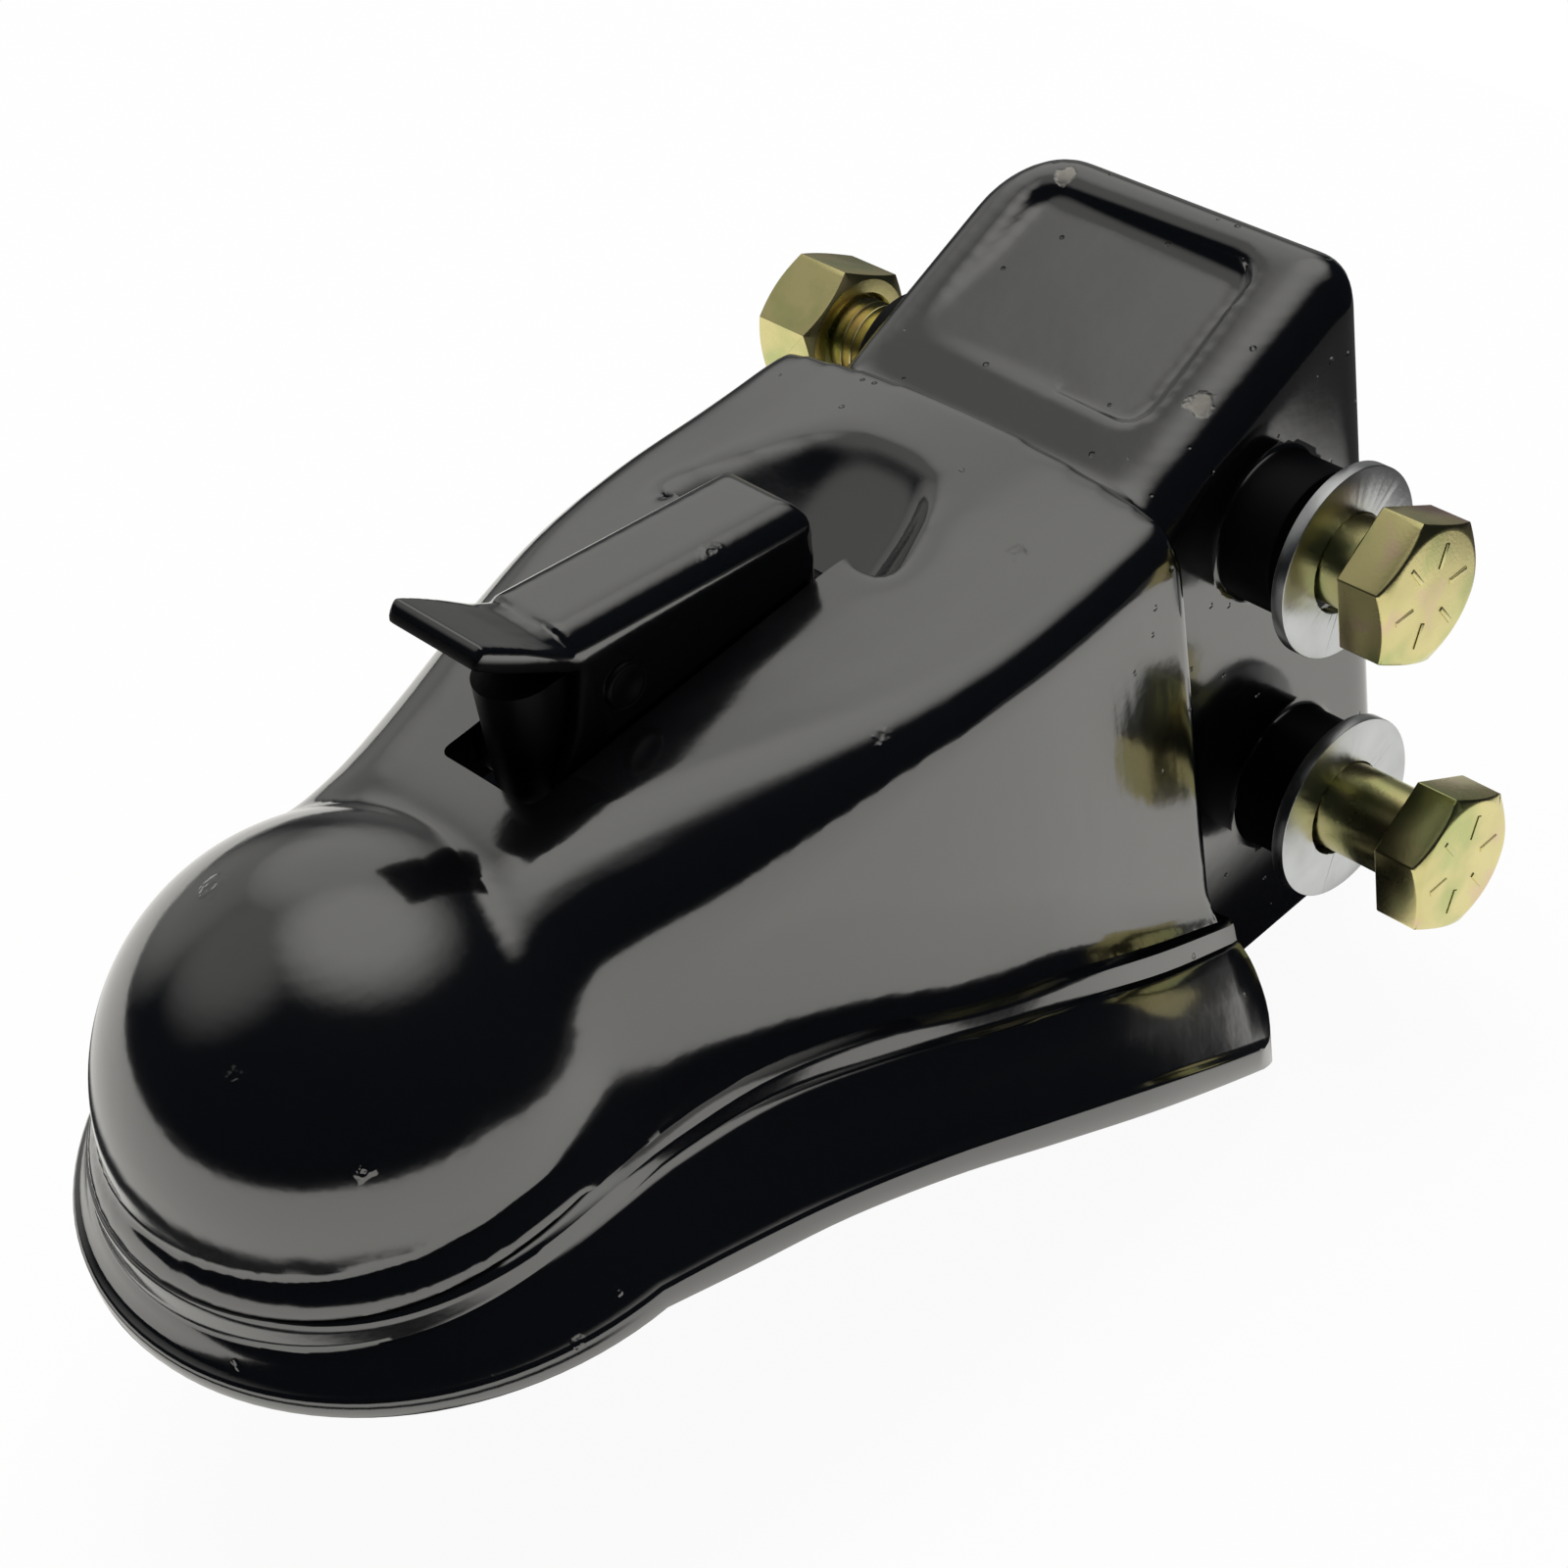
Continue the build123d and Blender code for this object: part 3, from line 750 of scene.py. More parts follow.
def casting_section(y):
    """Closed outline of the casting above the skirt at a place along Y."""
    at = station(y)
    under = at.under + 3
    half = []
    edge = at.half - at.corner
    for t in (0.25, 0.5, 0.75):
        half.append((edge * t, at.top - at.crown * t * t))
    tilt = math.atan(2 * at.crown / edge)
    low = at.top - at.crown - at.corner * math.cos(tilt)
    for k in range(8):
        turn = (math.pi / 2 - tilt) * (1 - k / 7)
        half.append((edge + at.corner * math.cos(turn), low + at.corner * math.sin(turn)))
    x, z = half[-1]
    for t in (0.33, 0.67):
        half.append((x + (at.foot_x - x) * t, z + (at.foot_z - z) * t))
    half.append((at.foot_x, at.foot_z))
    cx = at.foot_x + 0.32 * (at.in_x - at.foot_x)
    cz = at.foot_z + 0.88 * (at.in_z - at.foot_z)
    for t in (0.17, 0.33, 0.5, 0.67, 0.83):
        a, b, c = (1 - t) * (1 - t), 2 * (1 - t) * t, t * t
        half.append((a * at.foot_x + b * cx + c * at.in_x, a * at.foot_z + b * cz + c * at.in_z))
    half += [(at.in_x, at.in_z), (at.in_x + 0.6, at.in_z - 1.2), (at.in_x, under)]
    right, left = mirrored(half, y)
    return [Vector((0, y, at.top)) * MM, *right, Vector((0, y, under)) * MM, *left]


def hollow_section(y, like, wall):
    """Closed outline of the hollow inside the casting, sized like a place along Y."""
    at = station(like)
    inner = at.half - wall
    half = [
        (inner - 6, 26.0),
        (inner, 20.0),
        (at.foot_x - wall, at.foot_z - 5),
        (at.rim_x - 4.5, at.under - 6),
        (at.rim_x - 4.5, OPEN_BELOW),
    ]
    right, left = mirrored(half, y)
    return right + left


def nose_height(y, front, side):
    """Height of a line round the dome, between its front and its side height."""
    return front + (side - front) * fade(y, *NOSE)


def rim_ring(middle_y, radius, front, side, count=96):
    """Ring of points round the dome, higher at the sides than in front."""
    points = []
    for k in range(count):
        turn = 2 * math.pi * k / count
        y = middle_y + radius * math.sin(turn)
        points.append(Vector((radius * math.cos(turn), y, nose_height(y, front, side))) * MM)
    return points


def skirt_line(middle_y, radius, front, side, wide, high, rear, corner):
    """Closed line round the skirt: round the dome, along the stations, round corners behind."""

    def at(y):
        here = station(y)
        return getattr(here, wide), getattr(here, high)

    first_x, first_z = at(0)
    half = []
    for c, t in quarter(28):
        y = middle_y - radius * c
        half.append((radius * t, y, nose_height(y, front, side)))
    for k in range(1, 37):
        y = middle_y + (rear - corner - middle_y) * k / 36
        (x, z), back = at(y), 1 - fade(y, middle_y, 22)
        half.append((x + (radius - first_x) * back, y, z + (side - first_z) * back))
    for c, t in quarter(8)[1:]:
        y = rear - corner * (1 - t)
        x, z = at(y)
        half.append((x - corner * (1 - c), y, z))
    right = half + [(0.0, rear, half[-1][2])]
    return [Vector(point) for point in right + [(-x, y, z) for x, y, z in reversed(half[1:])]]


def inset(line, depth, rise):
    """A skirt line moved inward and up."""
    moved = []
    for k, point in enumerate(line):
        way = line[(k + 1) % len(line)] - line[k - 1]
        out = Vector((way.y, -way.x, 0)).normalized()
        moved.append(point - out * depth + Vector((0, 0, rise)))
    return moved


def blend(first, second, across, rise):
    """A line between two skirt lines, by its share of the way across and of the rise."""
    lines = []
    for a, b in zip(first, second):
        point = a.lerp(b, across)
        point.z = a.z + (b.z - a.z) * rise
        lines.append(point)
    return lines


def shrink(line, share, rise):
    """A skirt line drawn in towards the middle of the casting and up."""
    mid = SKIRT_CENTRE
    return [Vector((p.x * share, mid + (p.y - mid) * share, p.z + rise)) for p in line]


def make_skirt():
    """Skirt with an upright rim, a lip along its edge, a slope and a stepped shelf."""
    under, rim = skirt_line(*RIM_UNDER), skirt_line(*RIM_EDGE)
    outer, inner = skirt_line(*SHELF_OUT), skirt_line(*SHELF_IN)
    foot = inset(rim, 1.9, 0.8)
    step = blend(outer, inner, 0.36, 0.12)
    lines = [shrink(under, 0.78, 0)]
    lines += [inset(under, *by) for by in ((0.7, 0), (0.2, 0.2), (0, 0.7))]
    lines += [inset(rim, *by) for by in ((0, -1.0), (0.3, -0.4), (0.7, -0.08), (1.4, 0.18))]
    lines += [foot, blend(foot, outer, 0.5, 0.5), blend(foot, outer, 0.86, 0.88)]
    lines += [blend(outer, step, 0.0, -0.2), blend(outer, step, 0.35, 0.5), step]
    shares = ((0.42, 0.26), (0.50, 0.66), (0.58, 0.84), (0.8, 0.95))
    lines += [blend(outer, inner, *share) for share in shares]
    lines += [inner, shrink(inner, 0.82, 0.6)]
    skirt = loft([[point * MM for point in line] for line in lines])
    corner = [(90.0, -90.0), (90.0, SKIRT_REAR - SKIRT_CORNER - 1)]
    for c, t in quarter(12):
        y = SKIRT_REAR - SKIRT_CORNER * (1 - t)
        corner.append((station(y).rim_x + 0.05 - SKIRT_CORNER * (1 - c), y))
    plan = corner + [(-x, y) for x, y in reversed(corner)]
    plan = plan[-1:] + plan[:-1]
    keep = loft([[Vector((x, y, z)) * MM for x, y in plan] for z in (-120.0, 60.0)])
    return combine(skirt, keep, "INTERSECT")


def scoop_ring(left, right, front, rear, lift):
    """Round-cornered outline on the slope of the scoop behind the lever, lifted above it."""
    points = []
    for k in range(40):
        turn = 2 * math.pi * k / 40
        c, t = math.cos(turn), math.sin(turn)
        x = (left + right) / 2 + (right - left) / 2 * math.copysign(abs(c) ** 0.6, c)
        y = (front + rear) / 2 + (rear - front) / 2 * math.copysign(abs(t) ** 0.6, t)
        points.append(Vector((x, y, 28.8 + 0.5 * (y - 104) + lift)) * MM)
    return points


def box_top(y):
    """Height of the sloping top of the rear box, in millimetres."""
    return BOX_EDGE + (y - BOX_FRONT) * BOX_SLOPE


def panel_ring(grow, lift):
    """Outline of the dished panel on the box, grown and lifted, in its own slope."""
    spread = [(-1, -1), (1, -1), (1, 1), (-1, 1)]
    r = 4.0 + grow
    points = []
    for (x, y), (sx, sy) in zip(PANEL, spread):
        cx, cy = x + sx * (grow - r), y + sy * (grow - r)
        first = math.degrees(math.atan2(sy, sx)) - 45
        for k in range(7):
            turn = math.radians(first + 15 * k)
            px, py = cx + r * math.cos(turn), cy + r * math.sin(turn)
            deep = 1.9 + 0.9 * px / 24 + 1.1 * (py - 168) / 16
            points.append(Vector((px, py, box_top(py) - deep + lift)) * MM)
    return points


def make_box(sizes):
    """Rear box with rounded edges and a dished panel in its sloping top."""
    left, right, rear = sizes.box_left, sizes.box_right, sizes.box_rear
    top, front, hair = BOX_EDGE * MM, BOX_FRONT * MM, 1e-5
    box = block((left, 120 * MM, -71 * MM), (right, rear, top))
    edit()
    bpy.ops.mesh.bisect(plane_co=(0, front, 0), plane_no=(0, 1, 0))
    pick("VERT", lambda v: v.co.z > top - hair and v.co.y > rear - hair)
    bpy.ops.transform.translate(value=(0, 0, (rear - front) * BOX_SLOPE))

    def upright_behind(e):
        return abs(along(e).z) > 0.99 and middle(e).y > rear - hair

    def rim_of_top(e):
        ups = [face.normal.z for face in e.link_faces]
        return middle(e).z > top + 10 * hair and len(ups) == 2 and max(ups) > 0.8 and min(ups) < 0.5

    pick("EDGE", lambda e: upright_behind(e) and middle(e).x < 0)
    bpy.ops.mesh.bevel(offset=16 * MM, segments=10)
    pick("EDGE", lambda e: upright_behind(e) and middle(e).x > 30 * MM)
    bpy.ops.mesh.bevel(offset=7.5 * MM, segments=6)
    pick("EDGE", rim_of_top)
    bpy.ops.mesh.bevel(offset=9 * MM, segments=8)
    done()
    panel = loft([panel_ring(0.2, 0.0), panel_ring(1.2, 2.2), panel_ring(3.0, 14.0)])
    return combine(box, panel, "DIFFERENCE")


def make_boss(sizes, z):
    """Round pad on both sides of the box for one bolt, with small fillets and rounded ends."""
    left, right = sizes.box_left / MM, sizes.box_right / MM
    start, end, r = BOSS_LEFT, BOSS_RIGHT, BOSS_R
    profile = [(start, 0.0), (start, r - 0.8), (start + 0.25, r - 0.25), (start + 0.8, r)]
    profile += [(left - 1.2, r), (left - 0.35, r + 0.35), (left + 0.2, r + 1.4)]
    profile += [(right - 0.2, r + 1.4), (right + 0.35, r + 0.35), (right + 1.2, r)]
    profile += [(end - 0.8, r), (end - 0.25, r - 0.25), (end, r - 0.8), (end, 0.0)]
    boss = turned([(x * MM, radius * MM) for x, radius in profile])
    only(boss)
    boss.location = Vector((0, BOLT_Y, z)) * MM
    settle()
    return boss


def make_dome(radius):
    """Upper part of the dome."""
    rest()
    bpy.ops.mesh.primitive_uv_sphere_add(segments=128, ring_count=64, radius=radius)
    dome = bpy.context.object
    edit()
    cut = {"plane_co": (0, 0, -14 * MM), "plane_no": (0, 0, 1)}
    bpy.ops.mesh.bisect(**cut, use_fill=True, clear_inner=True)
    done()
    return dome


# Blended parts of the casting: name, rounds of smoothing when quick and in full, and stretches in
# millimetres over which the share grows from nothing to all: along Y, up, out from the middle, or
# off the dome's surface.
BLENDS = [
    ("neck", 30, 110, [("y", 0, 12), ("y", 52, 34), ("z", -3, 5), ("z", 31, 22)]),
    ("scoop", 12, 40, [("y", 78, 96), ("y", 138, 130), ("z", 24, 28), ("out", 33, 25)]),
    ("ridge", 6, 20, [("y", 132, 138), ("y", 150, 145), ("z", 28, 33)]),
    ("crease", 3, 9, [("y", 2, 8), ("z", 12, 18), ("off", 4, 2)]),
]


def soften(piece, name, rounds, stretches):
    """Blend a part of the surface by repeated smoothing."""
    group = piece.vertex_groups.new(name=name)
    for vertex in piece.data.vertices:
        x, y, z = vertex.co / MM
        off = abs(math.sqrt(x * x + y * y + z * z) - DOME_R)
        at = {"y": y, "z": z, "out": abs(x), "off": off}
        share = math.prod(fade(at[way], start, end) for way, start, end in stretches)
        if share > 0.01:
            group.add([vertex.index], share, "REPLACE")
    modify(piece, "SMOOTH", factor=0.5, iterations=rounds, vertex_group=name)
    piece.vertex_groups.remove(piece.vertex_groups[name])


def make_hollow(sizes):
    """All that is cut out of the casting: its inside, the ball socket, the slot and bolt holes."""
    wall = sizes.wall / MM
    sections = [hollow_section(12.0, 22.0, wall)]
    for y in (22, 31, 40, 50, 60, 70, 80, 90, 100, 110, 120):
        sections.append(hollow_section(y, y, wall))
    sections.append(hollow_section(133.0, BOX_FRONT, wall))
    hollow = loft(sections)
    below, wide = OPEN_BELOW * MM, sizes.socket + 3.5 * MM
    profile = [(sizes.socket * c, sizes.socket * t) for c, t in quarter(16)]
    profile += [(-17 * MM, sizes.socket), (-20.5 * MM, wide), (below, wide), (below, 0.0)]
    socket = only(turned(profile))
    socket.rotation_euler = (0, -math.pi / 2, 0)
    settle()
    hollow = combine(hollow, socket, "UNION")
    front, back = 129.5, sizes.box_rear / MM - BOX_WALL
    room = [(front, OPEN_BELOW), (back, OPEN_BELOW), (back, box_top(back) - BOX_WALL)]
    room += [(BOX_FRONT, BOX_EDGE - BOX_WALL), (front, BOX_EDGE - BOX_WALL)]
    room = only(side_prism(room, (sizes.box_right - sizes.box_left) / 2 - BOX_WALL * MM))
    room.location.x = (sizes.box_right + sizes.box_left) / 2
    settle()
    hollow = combine(hollow, room, "UNION")
    half = sizes.slot_half
    slot = block((-half, 33.2 * MM, 15 * MM), (half, 104.5 * MM, 75 * MM))
    edit()
    pick("EDGE", lambda e: abs(along(e).z) > 0.99)
    bpy.ops.mesh.bevel(offset=2 * MM, segments=4)
    done()
    hollow = combine(hollow, slot, "UNION")
    for z in BOLT_HEIGHTS:
        hole = drum(BOLT_HOLE_R * MM, 160 * MM, (0, BOLT_Y * MM, z * MM), (1, 0, 0))
        hollow = combine(hollow, hole, "UNION")
    return hollow


class COUPLING_OT_casting(bpy.types.Operator):
    """Model the cast body: dome, neck, skirt and rear box, hollow below"""

    bl_idname = "coupling.casting"
    bl_label = "Cast body"

    def execute(self, context):
        sizes = context.scene.casting_sizes
        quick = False
        trunk = loft([casting_section(STATIONS[0][0] + 4.4 * k) for k in range(31)])
        scoop = [(-11, 9.5, 92, 122, 0), (-19, 12.5, 88, 125, 4), (-33, 20, 84, 133, 12)]
        trunk = combine(trunk, loft([scoop_ring(*row) for row in scoop]), "DIFFERENCE")
        foot = loft([rim_ring(*row) for row in FOOT_RINGS])
        shell = merge([trunk, foot, make_dome(sizes.dome), make_box(sizes)])
        knit(shell, sizes.grain * (1.9 if quick else 1.0), 2 if quick else 5)
        for name, few, full, stretches in BLENDS:
            soften(shell, name, few if quick else full, stretches)
        shell = combine(shell, make_skirt(), "UNION")
        for z in BOLT_HEIGHTS:
            shell = combine(shell, make_boss(sizes, z), "UNION")
        shell = combine(shell, make_hollow(sizes), "DIFFERENCE")
        if max(v.co.z for v in shell.data.vertices) > 62 * MM:
            raise RuntimeError("the hollow of the casting could not be cut")
        colours = context.scene.finish_colours
        # The pads round the bolts carry painted shade of the washers.
        shaded_pads = [(BOLT_Y, z) for z in BOLT_HEIGHTS]
        paint = gloss_paint("body_paint", colours, CHIPS, NIBS, True, shaded_pads=shaded_pads)
        place(shell, "cast_body", "coupler", ["body"], paint, 32.0)
        return {"FINISHED"}


# The latch


def arch_ring(y, z, half, corner, lean, depth):
    """Cross-section of the folded lever at its roof line, closed far below."""
    points = [(half - corner + corner * c, corner * (1 - t)) for c, t in quarter(8)[::-1]]
    points.append((half, depth))
    full = points + [(-x, d) for x, d in reversed(points)]
    return [Vector((x, y - d * math.sin(lean), z - d * math.cos(lean))) for x, d in full]


def tab_ring(y, z, slope, half, thick, fall):
    """Cross-section of the thumb tab, square to its slope."""
    tilt = math.radians(slope)
    upper, lower = [], []
    for t in (-1.0, -0.97, -0.88, -0.7, -0.45, 0.0, 0.45, 0.7, 0.88, 0.97, 1.0):
        sag = -fall * abs(t) ** 3.2
        round_off = 0.3 * thick if abs(t) == 1.0 else 0.0
        upper.append((half * t, sag - round_off))
        lower.append((half * t, sag - thick + round_off))
    points = upper + lower[::-1]
    return [Vector((x, y + d * math.sin(tilt), z + d * math.cos(tilt))) * MM for x, d in points]


def side_prism(outline, half):
    """Solid of a side-view outline in millimetres, spread to both sides."""
    right = [Vector((half, y * MM, z * MM)) for y, z in outline]
    left = [Vector((-half, y * MM, z * MM)) for y, z in outline]
    return loft([left, right])


class COUPLING_OT_lever(bpy.types.Operator):
    """Model the folded latch lever with its thumb tab, and the pivot pin"""

    bl_idname = "coupling.lever"
    bl_label = "Latch lever"

    def execute(self, context):
        sizes = context.scene.latch_sizes
        colours = context.scene.finish_colours
        lean = math.atan2(ROOF_FALL, ROOF_RUN)

        def arch(places, inward):
            """Solid under the roof line, smaller by a thickness."""
            rings = []
            for y in places:
                roof = (ROOF_Z + (y - ROOF_Y) * ROOF_FALL / ROOF_RUN) * MM - inward / math.cos(lean)
                half, corner = sizes.half - inward, sizes.edge - inward
                rings.append(arch_ring(y * MM, roof, half, corner, lean, 60 * MM))
            return loft(rings)

        def pin_rim(e):
            at = middle(e)
            away = math.hypot(at.y - PIN_Y * MM, at.z - PIN_Z * MM)
            return abs(abs(at.x) - PIN_HALF * MM) < 1e-6 and away > 3.8 * MM

        outer = arch((20.0, 70.0, 120.0), 0.0)
        inner = arch((10.0, 70.0, 130.0), sizes.sheet)
        lever = combine(outer, side_prism(LEVER_SIDE, 0.02), "INTERSECT")
        lever = combine(lever, inner, "DIFFERENCE")
        lever = merge([lever, loft([tab_ring(*row) for row in TAB_ROWS])])
        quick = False
        knit(lever, sizes.grain * (1.6 if quick else 1.0), 8 if quick else 16)
        axis = (0, PIN_Y * MM, PIN_Z * MM)
        hole = drum(sizes.pin / 2 + 0.06 * MM, 40 * MM, axis, (1, 0, 0))
        lever = combine(lever, hole, "DIFFERENCE")
        # The lever's paint carries painted shade under its thumb tab.
        paint = gloss_paint("latch_paint", colours, [], NIBS[-1:], False, tab=True)
        place(lever, "latch_lever", "lever", ["lever"], paint)
        pin = drum(sizes.pin / 2, 2 * PIN_HALF * MM, axis, (1, 0, 0), 48)
        edit()
        pick("FACE", lambda f: abs(f.normal.x) > 0.9)
        bpy.ops.mesh.inset(thickness=1.2 * MM, depth=0, use_individual=True)
        pick("FACE", lambda f: abs(f.normal.x) > 0.9 and len(f.verts) > 4)
        bpy.ops.mesh.inset(thickness=0.6 * MM, depth=-0.35 * MM, use_individual=True)
        pick("EDGE", pin_rim)
        bpy.ops.mesh.bevel(offset=0.6 * MM, segments=3)
        done()
        dull = satin_black("post_paint", colours)
        place(pin, "lever_pin", "lever", ["pivot_pin"], dull)
        repaint(dull, "latch_post")
        return {"FINISHED"}


# Bolts, nuts and washers


def chain(points):
    """Open chain of edges through points."""
    piece = ring(points)
    edit()
    last = len(points) - 1
    pick("EDGE", lambda e: {v.index for v in e.verts} == {0, last})
    bpy.ops.mesh.delete(type="EDGE_FACE")
    done()
    return piece


def spin(piece, steps, pitch=0.0, rounds=1):
    """Sweep a chain about X, forward by a pitch in each round, and close the seams."""
    modify(
        piece,
        "SCREW",
        axis="X",
        angle=2 * math.pi,
        screw_offset=pitch,
        iterations=rounds,
        steps=steps,
        render_steps=steps,
        use_merge_vertices=True,
        merge_threshold=1e-6,
    )
    only(piece)
    edit()
    bpy.ops.mesh.remove_doubles(threshold=1e-6)
    bpy.ops.mesh.normals_make_consistent(inside=False)
    done()
    return piece


def turned(profile, sides=96):
    """Solid of revolution about X: pairs of place along X and radius, from axis to axis."""
    return spin(chain([Vector((x, 0, radius)) for x, radius in profile]), sides)


def chamfer(piece, width, angle):
    """Round the edges that are sharper than an angle."""
    limit = math.radians(angle)
    modify(piece, "BEVEL", width=width, segments=3, limit_method="ANGLE", angle_limit=limit)


def hexagon_bar(flats, low, high):
    """Hexagonal bar along X with a corner upward."""
    corner = flats / math.sqrt(3)
    turns = [math.radians(90 + 60 * k) for k in range(6)]
    plan = [(corner * math.cos(t), corner * math.sin(t)) for t in turns]
    return loft([[Vector((x, y, z)) for y, z in plan] for x in (low, high)])


def threaded_rod(radius, pitch, low, high, blank):
    """Shank along X with a screw thread from low to high, plain from there to blank."""
    deep = 0.61 * pitch
    turns = int((high - low) / pitch)
    profile = [(0.0, -deep), (0.12, -deep), (0.44, 0.0), (0.56, 0.0), (0.88, -deep), (1.0, -deep)]
    rod = chain([Vector((low + x * pitch, 0, radius + drop)) for x, drop in profile])
    spin(rod, 40, pitch, turns)
    end = low + turns * pitch
    tip, root = low - 0.3 * pitch, radius - deep
    profile = [(tip, 0.0), (tip, root - 0.9 * MM), (low + 0.9 * MM, root + 0.02 * MM)]
    profile += [(end, root + 0.02 * MM), (end + 1.4 * MM, radius), (blank, radius), (blank, 0.0)]
    return merge([turned(profile), rod])


def bolt_head(sizes):
    """Hexagon head on the plane X = 0 with a chamfer, a washer face and grade lines."""
    flats, top = sizes.flats, sizes.head
    corner, ends = flats / math.sqrt(3), flats * CHAMFER
    drop = (corner - ends) * math.tan(math.radians(28))
    low, wide = -1 * MM, corner * 1.01
    keep = [(low, 0.0), (low, wide), (top - drop, wide), (top, ends), (top, 0.0)]
    head = combine(hexagon_bar(flats, 0.4 * MM, top), turned(keep), "INTERSECT")
    chamfer(head, 0.35 * MM, 25)
    face = turned([(0.0, 0.0), (0.0, flats * 0.47), (0.6 * MM, flats * 0.48), (0.6 * MM, 0.0)])
    marks = []
    for k in range(6):
        near, far = (top - 0.3 * MM, -0.45 * MM, 4.6 * MM), (top + 0.22 * MM, 0.45 * MM, 9.0 * MM)
        mark = only(block(near, far))
        edit()
        pick("EDGE", lambda e: middle(e).x > top)
        bpy.ops.mesh.bevel(offset=0.18 * MM, segments=2)
        done()
        mark.rotation_euler = (math.radians(60 * k + 30), 0, 0)
        settle()
        marks.append(mark)
    return merge([head, face, *marks])


def make_nut(sizes):
    """Hexagon nut in front of the plane X = 0, chamfered at both ends, with a plain bore."""
    low, radius = -sizes.nut, sizes.shank / 2
    corner, ends = sizes.flats / math.sqrt(3), sizes.flats * CHAMFER
    drop, wide = (corner - ends) * math.tan(math.radians(30)), corner * 1.01
    keep = [(low, 0.0), (low, ends), (low + drop, wide), (-drop, wide), (0.0, ends), (0.0, 0.0)]
    nut = combine(hexagon_bar(sizes.flats, low, 0.0), turned(keep), "INTERSECT")
    chamfer(nut, 0.35 * MM, 25)
    flared, bored = radius + 1.9 * MM, radius + 0.06 * MM
    bore = [(low - 1 * MM, 0.0), (low - 1 * MM, flared), (low + 0.9 * MM, bored)]
    bore += [(-0.9 * MM, bored), (1 * MM, flared), (1 * MM, 0.0)]
    return combine(nut, turned(bore), "DIFFERENCE")


def hang(master, copies, material, angle=35.0, drop=0.0):
    """Put a copy of a piece on the axis of each bolt, and remove the piece itself."""
    for (name, node, x), z in zip(copies, BOLT_HEIGHTS):
        twin = copy_of(master, Vector((x, BOLT_Y, z - drop)) * MM)
        place(twin, name, "coupler", [node], material, angle)
    bpy.data.objects.remove(master)


class COUPLING_OT_bolts(bpy.types.Operator):
    """Model the two clamping bolts with threads and grade lines, and their nuts"""

    bl_idname = "coupling.bolts"
    bl_label = "Clamping bolts"

    def execute(self, context):
        sizes = context.scene.fastener_sizes
        yellow = yellow_plate("yellow_zinc", context.scene.finish_colours)
        tip = -sizes.length
        thread = (tip + 0.7 * MM, tip + sizes.threaded)
        rod = threaded_rod(sizes.shank / 2, sizes.pitch, *thread, 0.1 * MM)
        bolt = merge([rod, bolt_head(sizes)])
        bolts = [("clamp_bolt_upper", "bolt_upper", 62.3), ("clamp_bolt_lower", "bolt_lower", 68.0)]
        hang(bolt, bolts, yellow, 30.0)
        nuts = [("clamp_nut_upper", "nut_upper", -56.2), ("clamp_nut_lower", "nut_lower", -46.0)]
        hang(make_nut(sizes), nuts, yellow, 30.0)
        return {"FINISHED"}


class COUPLING_OT_washers(bpy.types.Operator):
    """Model the plain washers that hang on the bolts"""

    bl_idname = "coupling.washers"
    bl_label = "Washers"

    def execute(self, context):
        colours = context.scene.finish_colours
        clear = clear_plate("clear_zinc", colours)
        hole, rim, half = 8.73, 16.65 * MM, 1.2 * MM
        washer = turned([(-half, 0.0), (-half, rim), (half, rim), (half, 0.0)], 128)
        bore = drum(hole * MM, 6 * MM, (0, 0, 0), (1, 0, 0), 128)
        washer = combine(washer, bore, "DIFFERENCE")
        chamfer(washer, 0.45 * MM, 40)
        washers = [
            ("plain_washer_upper", "washer_upper", 54.3),
            ("plain_washer_lower", "washer_lower", 51.3),
        ]
        drop = hole - BOLT_D / 2 - 0.05
        hang(washer, washers, clear, drop=drop)
        repaint(clear, "jaw_spring", "spring_washer", "stem_nut")
        repaint(plain_iron("jaw_iron", colours), "ball_jaw")
        return {"FINISHED"}


# Floor, light and camera


def soft_lamp(name, place_at, look_at, width, height, power):
    """Rectangular lamp that faces a point."""
    rest()
    place_at, look_at = Vector(place_at), Vector(look_at)
    bpy.ops.object.light_add(type="AREA", location=place_at)
    lamp = bpy.context.object
    lamp.name = name
    lamp.rotation_euler = (place_at - look_at).to_track_quat("Z", "Y").to_euler()
    lamp.data.shape = "RECTANGLE"
    lamp.data.size = width
    lamp.data.size_y = height
    lamp.data.energy = power
    return lamp


def make_world(scene):
    """White seen directly, a dark room with soft boxes overhead in reflections."""
    scene.world = bpy.data.worlds.new("studio")
    room = Finish(scene.world)
    way = room.node("ShaderNodeTexCoord", output="Generated")
    light = None
    for centre, outer, inner, level in SOFT_BOXES:
        near = room.node(
            "ShaderNodeVectorMath",
            {"operation": "DOT_PRODUCT"},
            {0: way, 1: Vector(centre).normalized()},
            output="Value",
        )
        light = either(light, room.ramp(near, outer, inner, 0.0, level))

    def glow(colour, strength):
        return room.node("ShaderNodeBackground", None, {"Color": rgba(colour), "Strength": strength})

    dark, boxes = glow((0.012, 0.0138, 0.018), 1.0), glow((1.0, 0.985, 0.935), light)
    inside = room.node("ShaderNodeAddShader", None, {0: dark, 1: boxes})
    path = room.node("ShaderNodeLightPath", output="Is Camera Ray")
    both = room.node("ShaderNodeMixShader", None, {0: path, 1: inside, 2: glow((1, 1, 1), 1.0)})
    room.close(both, "ShaderNodeOutputWorld")


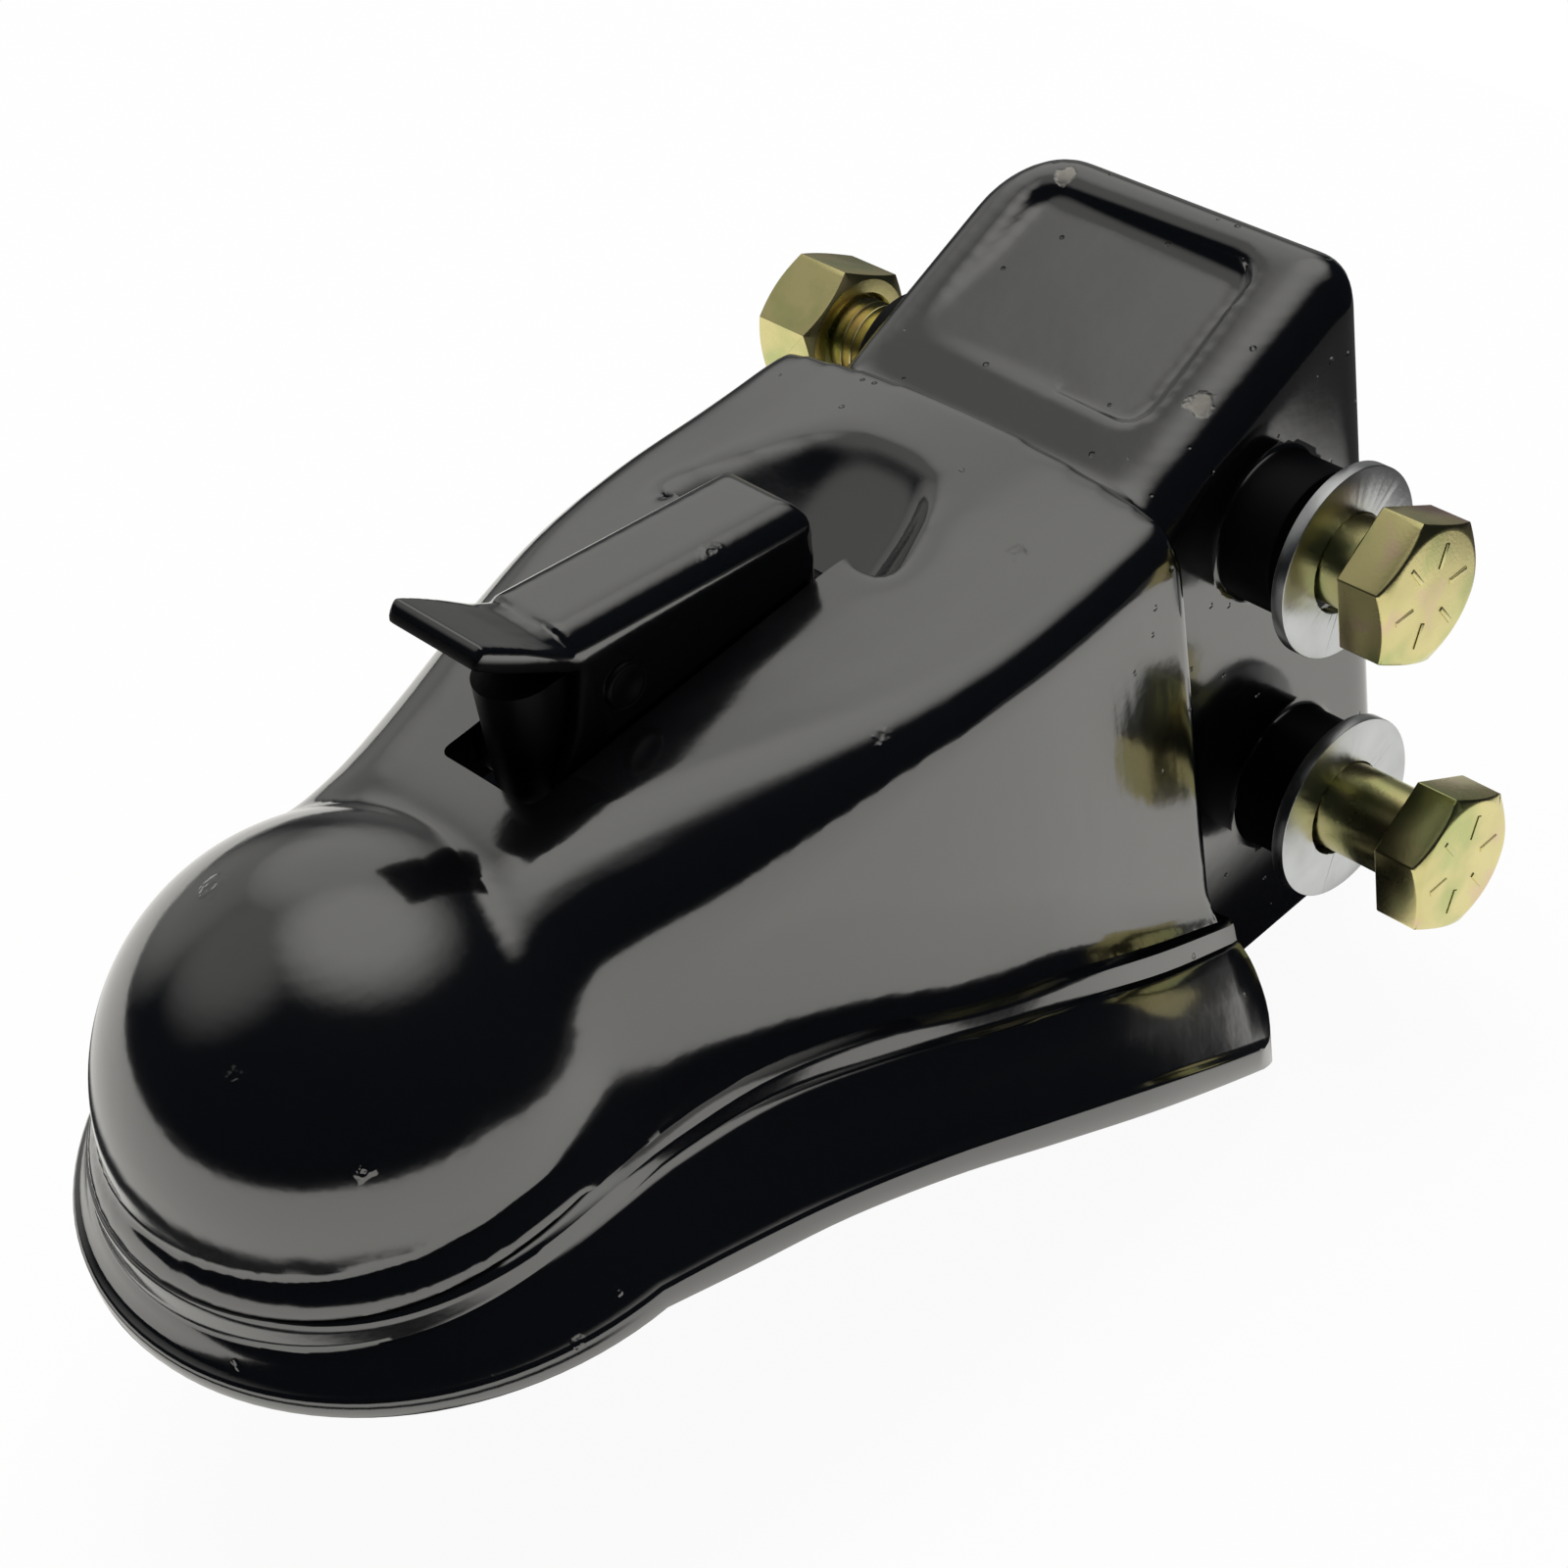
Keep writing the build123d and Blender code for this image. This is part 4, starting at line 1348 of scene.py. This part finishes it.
def make_floor(colour):
    """Pale floor; in reflections it carries painted shade: dark under the object and in a band in
    front, where its shadow falls, and dark far behind, where the room is unlit.
    """
    rest()
    bpy.ops.mesh.primitive_plane_add(size=1)
    floor = bpy.context.object
    floor.name = "floor"
    floor.scale = (3.2, 2.0, 1)
    floor.location = (0, -0.58, CAD_LOW.z - 0.0005)
    settle()
    finish = new_finish("floor")
    seen = finish.node("ShaderNodeLightPath", output="Is Camera Ray")
    mirror = finish.node("ShaderNodeLightPath", output="Is Glossy Ray")
    through = finish.node("ShaderNodeLightPath", output="Is Transmission Ray")
    matt = finish.node("ShaderNodeBsdfDiffuse", None, {"Color": rgba(colour)})
    across, length, _ = finish.split(finish.here())
    # Painted shadow of the object on the floor under it, seen only in reflections.
    under = finish.spot(across * across, (0.05**2, 0.064**2))
    under = under * finish.spot(length, (0.185, 0.20)) * finish.spot(0.0 - length, (0.04, 0.055))
    # Painted shade far behind, where the floor is unlit.
    far = finish.spot(length, (0.262, 0.30))
    # Painted shadow in a band round the front, where the object shades the floor close to it.
    reach = across * across + length * length
    band = finish.spot(reach, (0.134**2, 0.156**2))
    band = band * (1.0 - finish.spot(reach, (0.110**2, 0.117**2)))
    ahead = finish.spot(length, (-0.01, 0.03))
    lit = (1.0 - under) * (0.06 + far * 0.94) * (1.0 - band * ahead)
    sheen = finish.mix(lit, rgba((0.01, 0.011, 0.014)), rgba((1, 0.985, 0.94)))
    tint = finish.mix(mirror, rgba((1, 1, 1)), sheen)
    glow = finish.node("ShaderNodeEmission", None, {"Color": tint, "Strength": 1.0})
    share = (seen + through) * 0.95 + mirror * 0.99
    both = finish.node("ShaderNodeMixShader", None, {0: share, 1: matt, 2: glow})
    floor.data.materials.append(finish.close(both))
    return floor


class COUPLING_OT_stage(bpy.types.Operator):
    """Set up the pale floor, the soft light and the camera"""

    bl_idname = "coupling.stage"
    bl_label = "Stage"

    def execute(self, context):
        settings = context.scene.stage_settings
        floor = make_floor(settings.floor)
        make_world(context.scene)
        lamp = soft_lamp("key_lamp", (-0.35, 0.45, 1.2), (0, 0.07, 0), 1.0, 1.0, 12.0)
        lamp.visible_glossy = False
        right = Vector((0.69117, 0.70942, -0.13786))
        up = Vector((-0.39595, 0.53131, 0.74896))
        back = Vector((0.60457, -0.46307, 0.64812))
        turn = Matrix((right, up, back)).transposed().to_4x4()
        rest()
        bpy.ops.object.camera_add()
        camera = context.object
        camera.matrix_world = Matrix.Translation((0.33836, -0.17059, 0.35828)) @ turn
        camera.data.lens = settings.lens
        camera.data.sensor_width = 36.0
        camera.data.clip_start = 0.01
        context.scene.camera = camera
        context.scene.view_settings.view_transform = "Standard"
        return {"FINISHED"}


OPERATORS = (
    COUPLING_OT_casting,
    COUPLING_OT_lever,
    COUPLING_OT_bolts,
    COUPLING_OT_washers,
    COUPLING_OT_stage,
)

SETTINGS = {
    "casting_sizes": CastingSizes,
    "latch_sizes": LatchSizes,
    "fastener_sizes": FastenerSizes,
    "finish_colours": FinishColours,
    "stage_settings": StageSettings,
}


class COUPLING_PT_panel(bpy.types.Panel):
    """Buttons and settings of the coupling head"""

    bl_idname = "COUPLING_PT_panel"
    bl_label = "Coupling head"
    bl_space_type = "VIEW_3D"
    bl_region_type = "UI"
    bl_category = "Coupling"

    def draw(self, context):
        column = self.layout.column()
        for operator in OPERATORS:
            column.operator(operator.bl_idname)
        for name in SETTINGS:
            group = getattr(context.scene, name)
            for key in group.__annotations__:
                column.prop(group, key)


CLASSES = (*SETTINGS.values(), *OPERATORS, COUPLING_PT_panel)


def register():
    for item in CLASSES:
        bpy.utils.register_class(item)
    for name, group in SETTINGS.items():
        setattr(bpy.types.Scene, name, PointerProperty(type=group))


def unregister():
    for name in SETTINGS:
        delattr(bpy.types.Scene, name)
    for item in reversed(CLASSES):
        bpy.utils.unregister_class(item)


def main():
    register()
    bpy.ops.coupling.casting()
    bpy.ops.coupling.lever()
    bpy.ops.coupling.bolts()
    bpy.ops.coupling.washers()
    bpy.ops.coupling.stage()


if __name__ == "__main__":
    main()
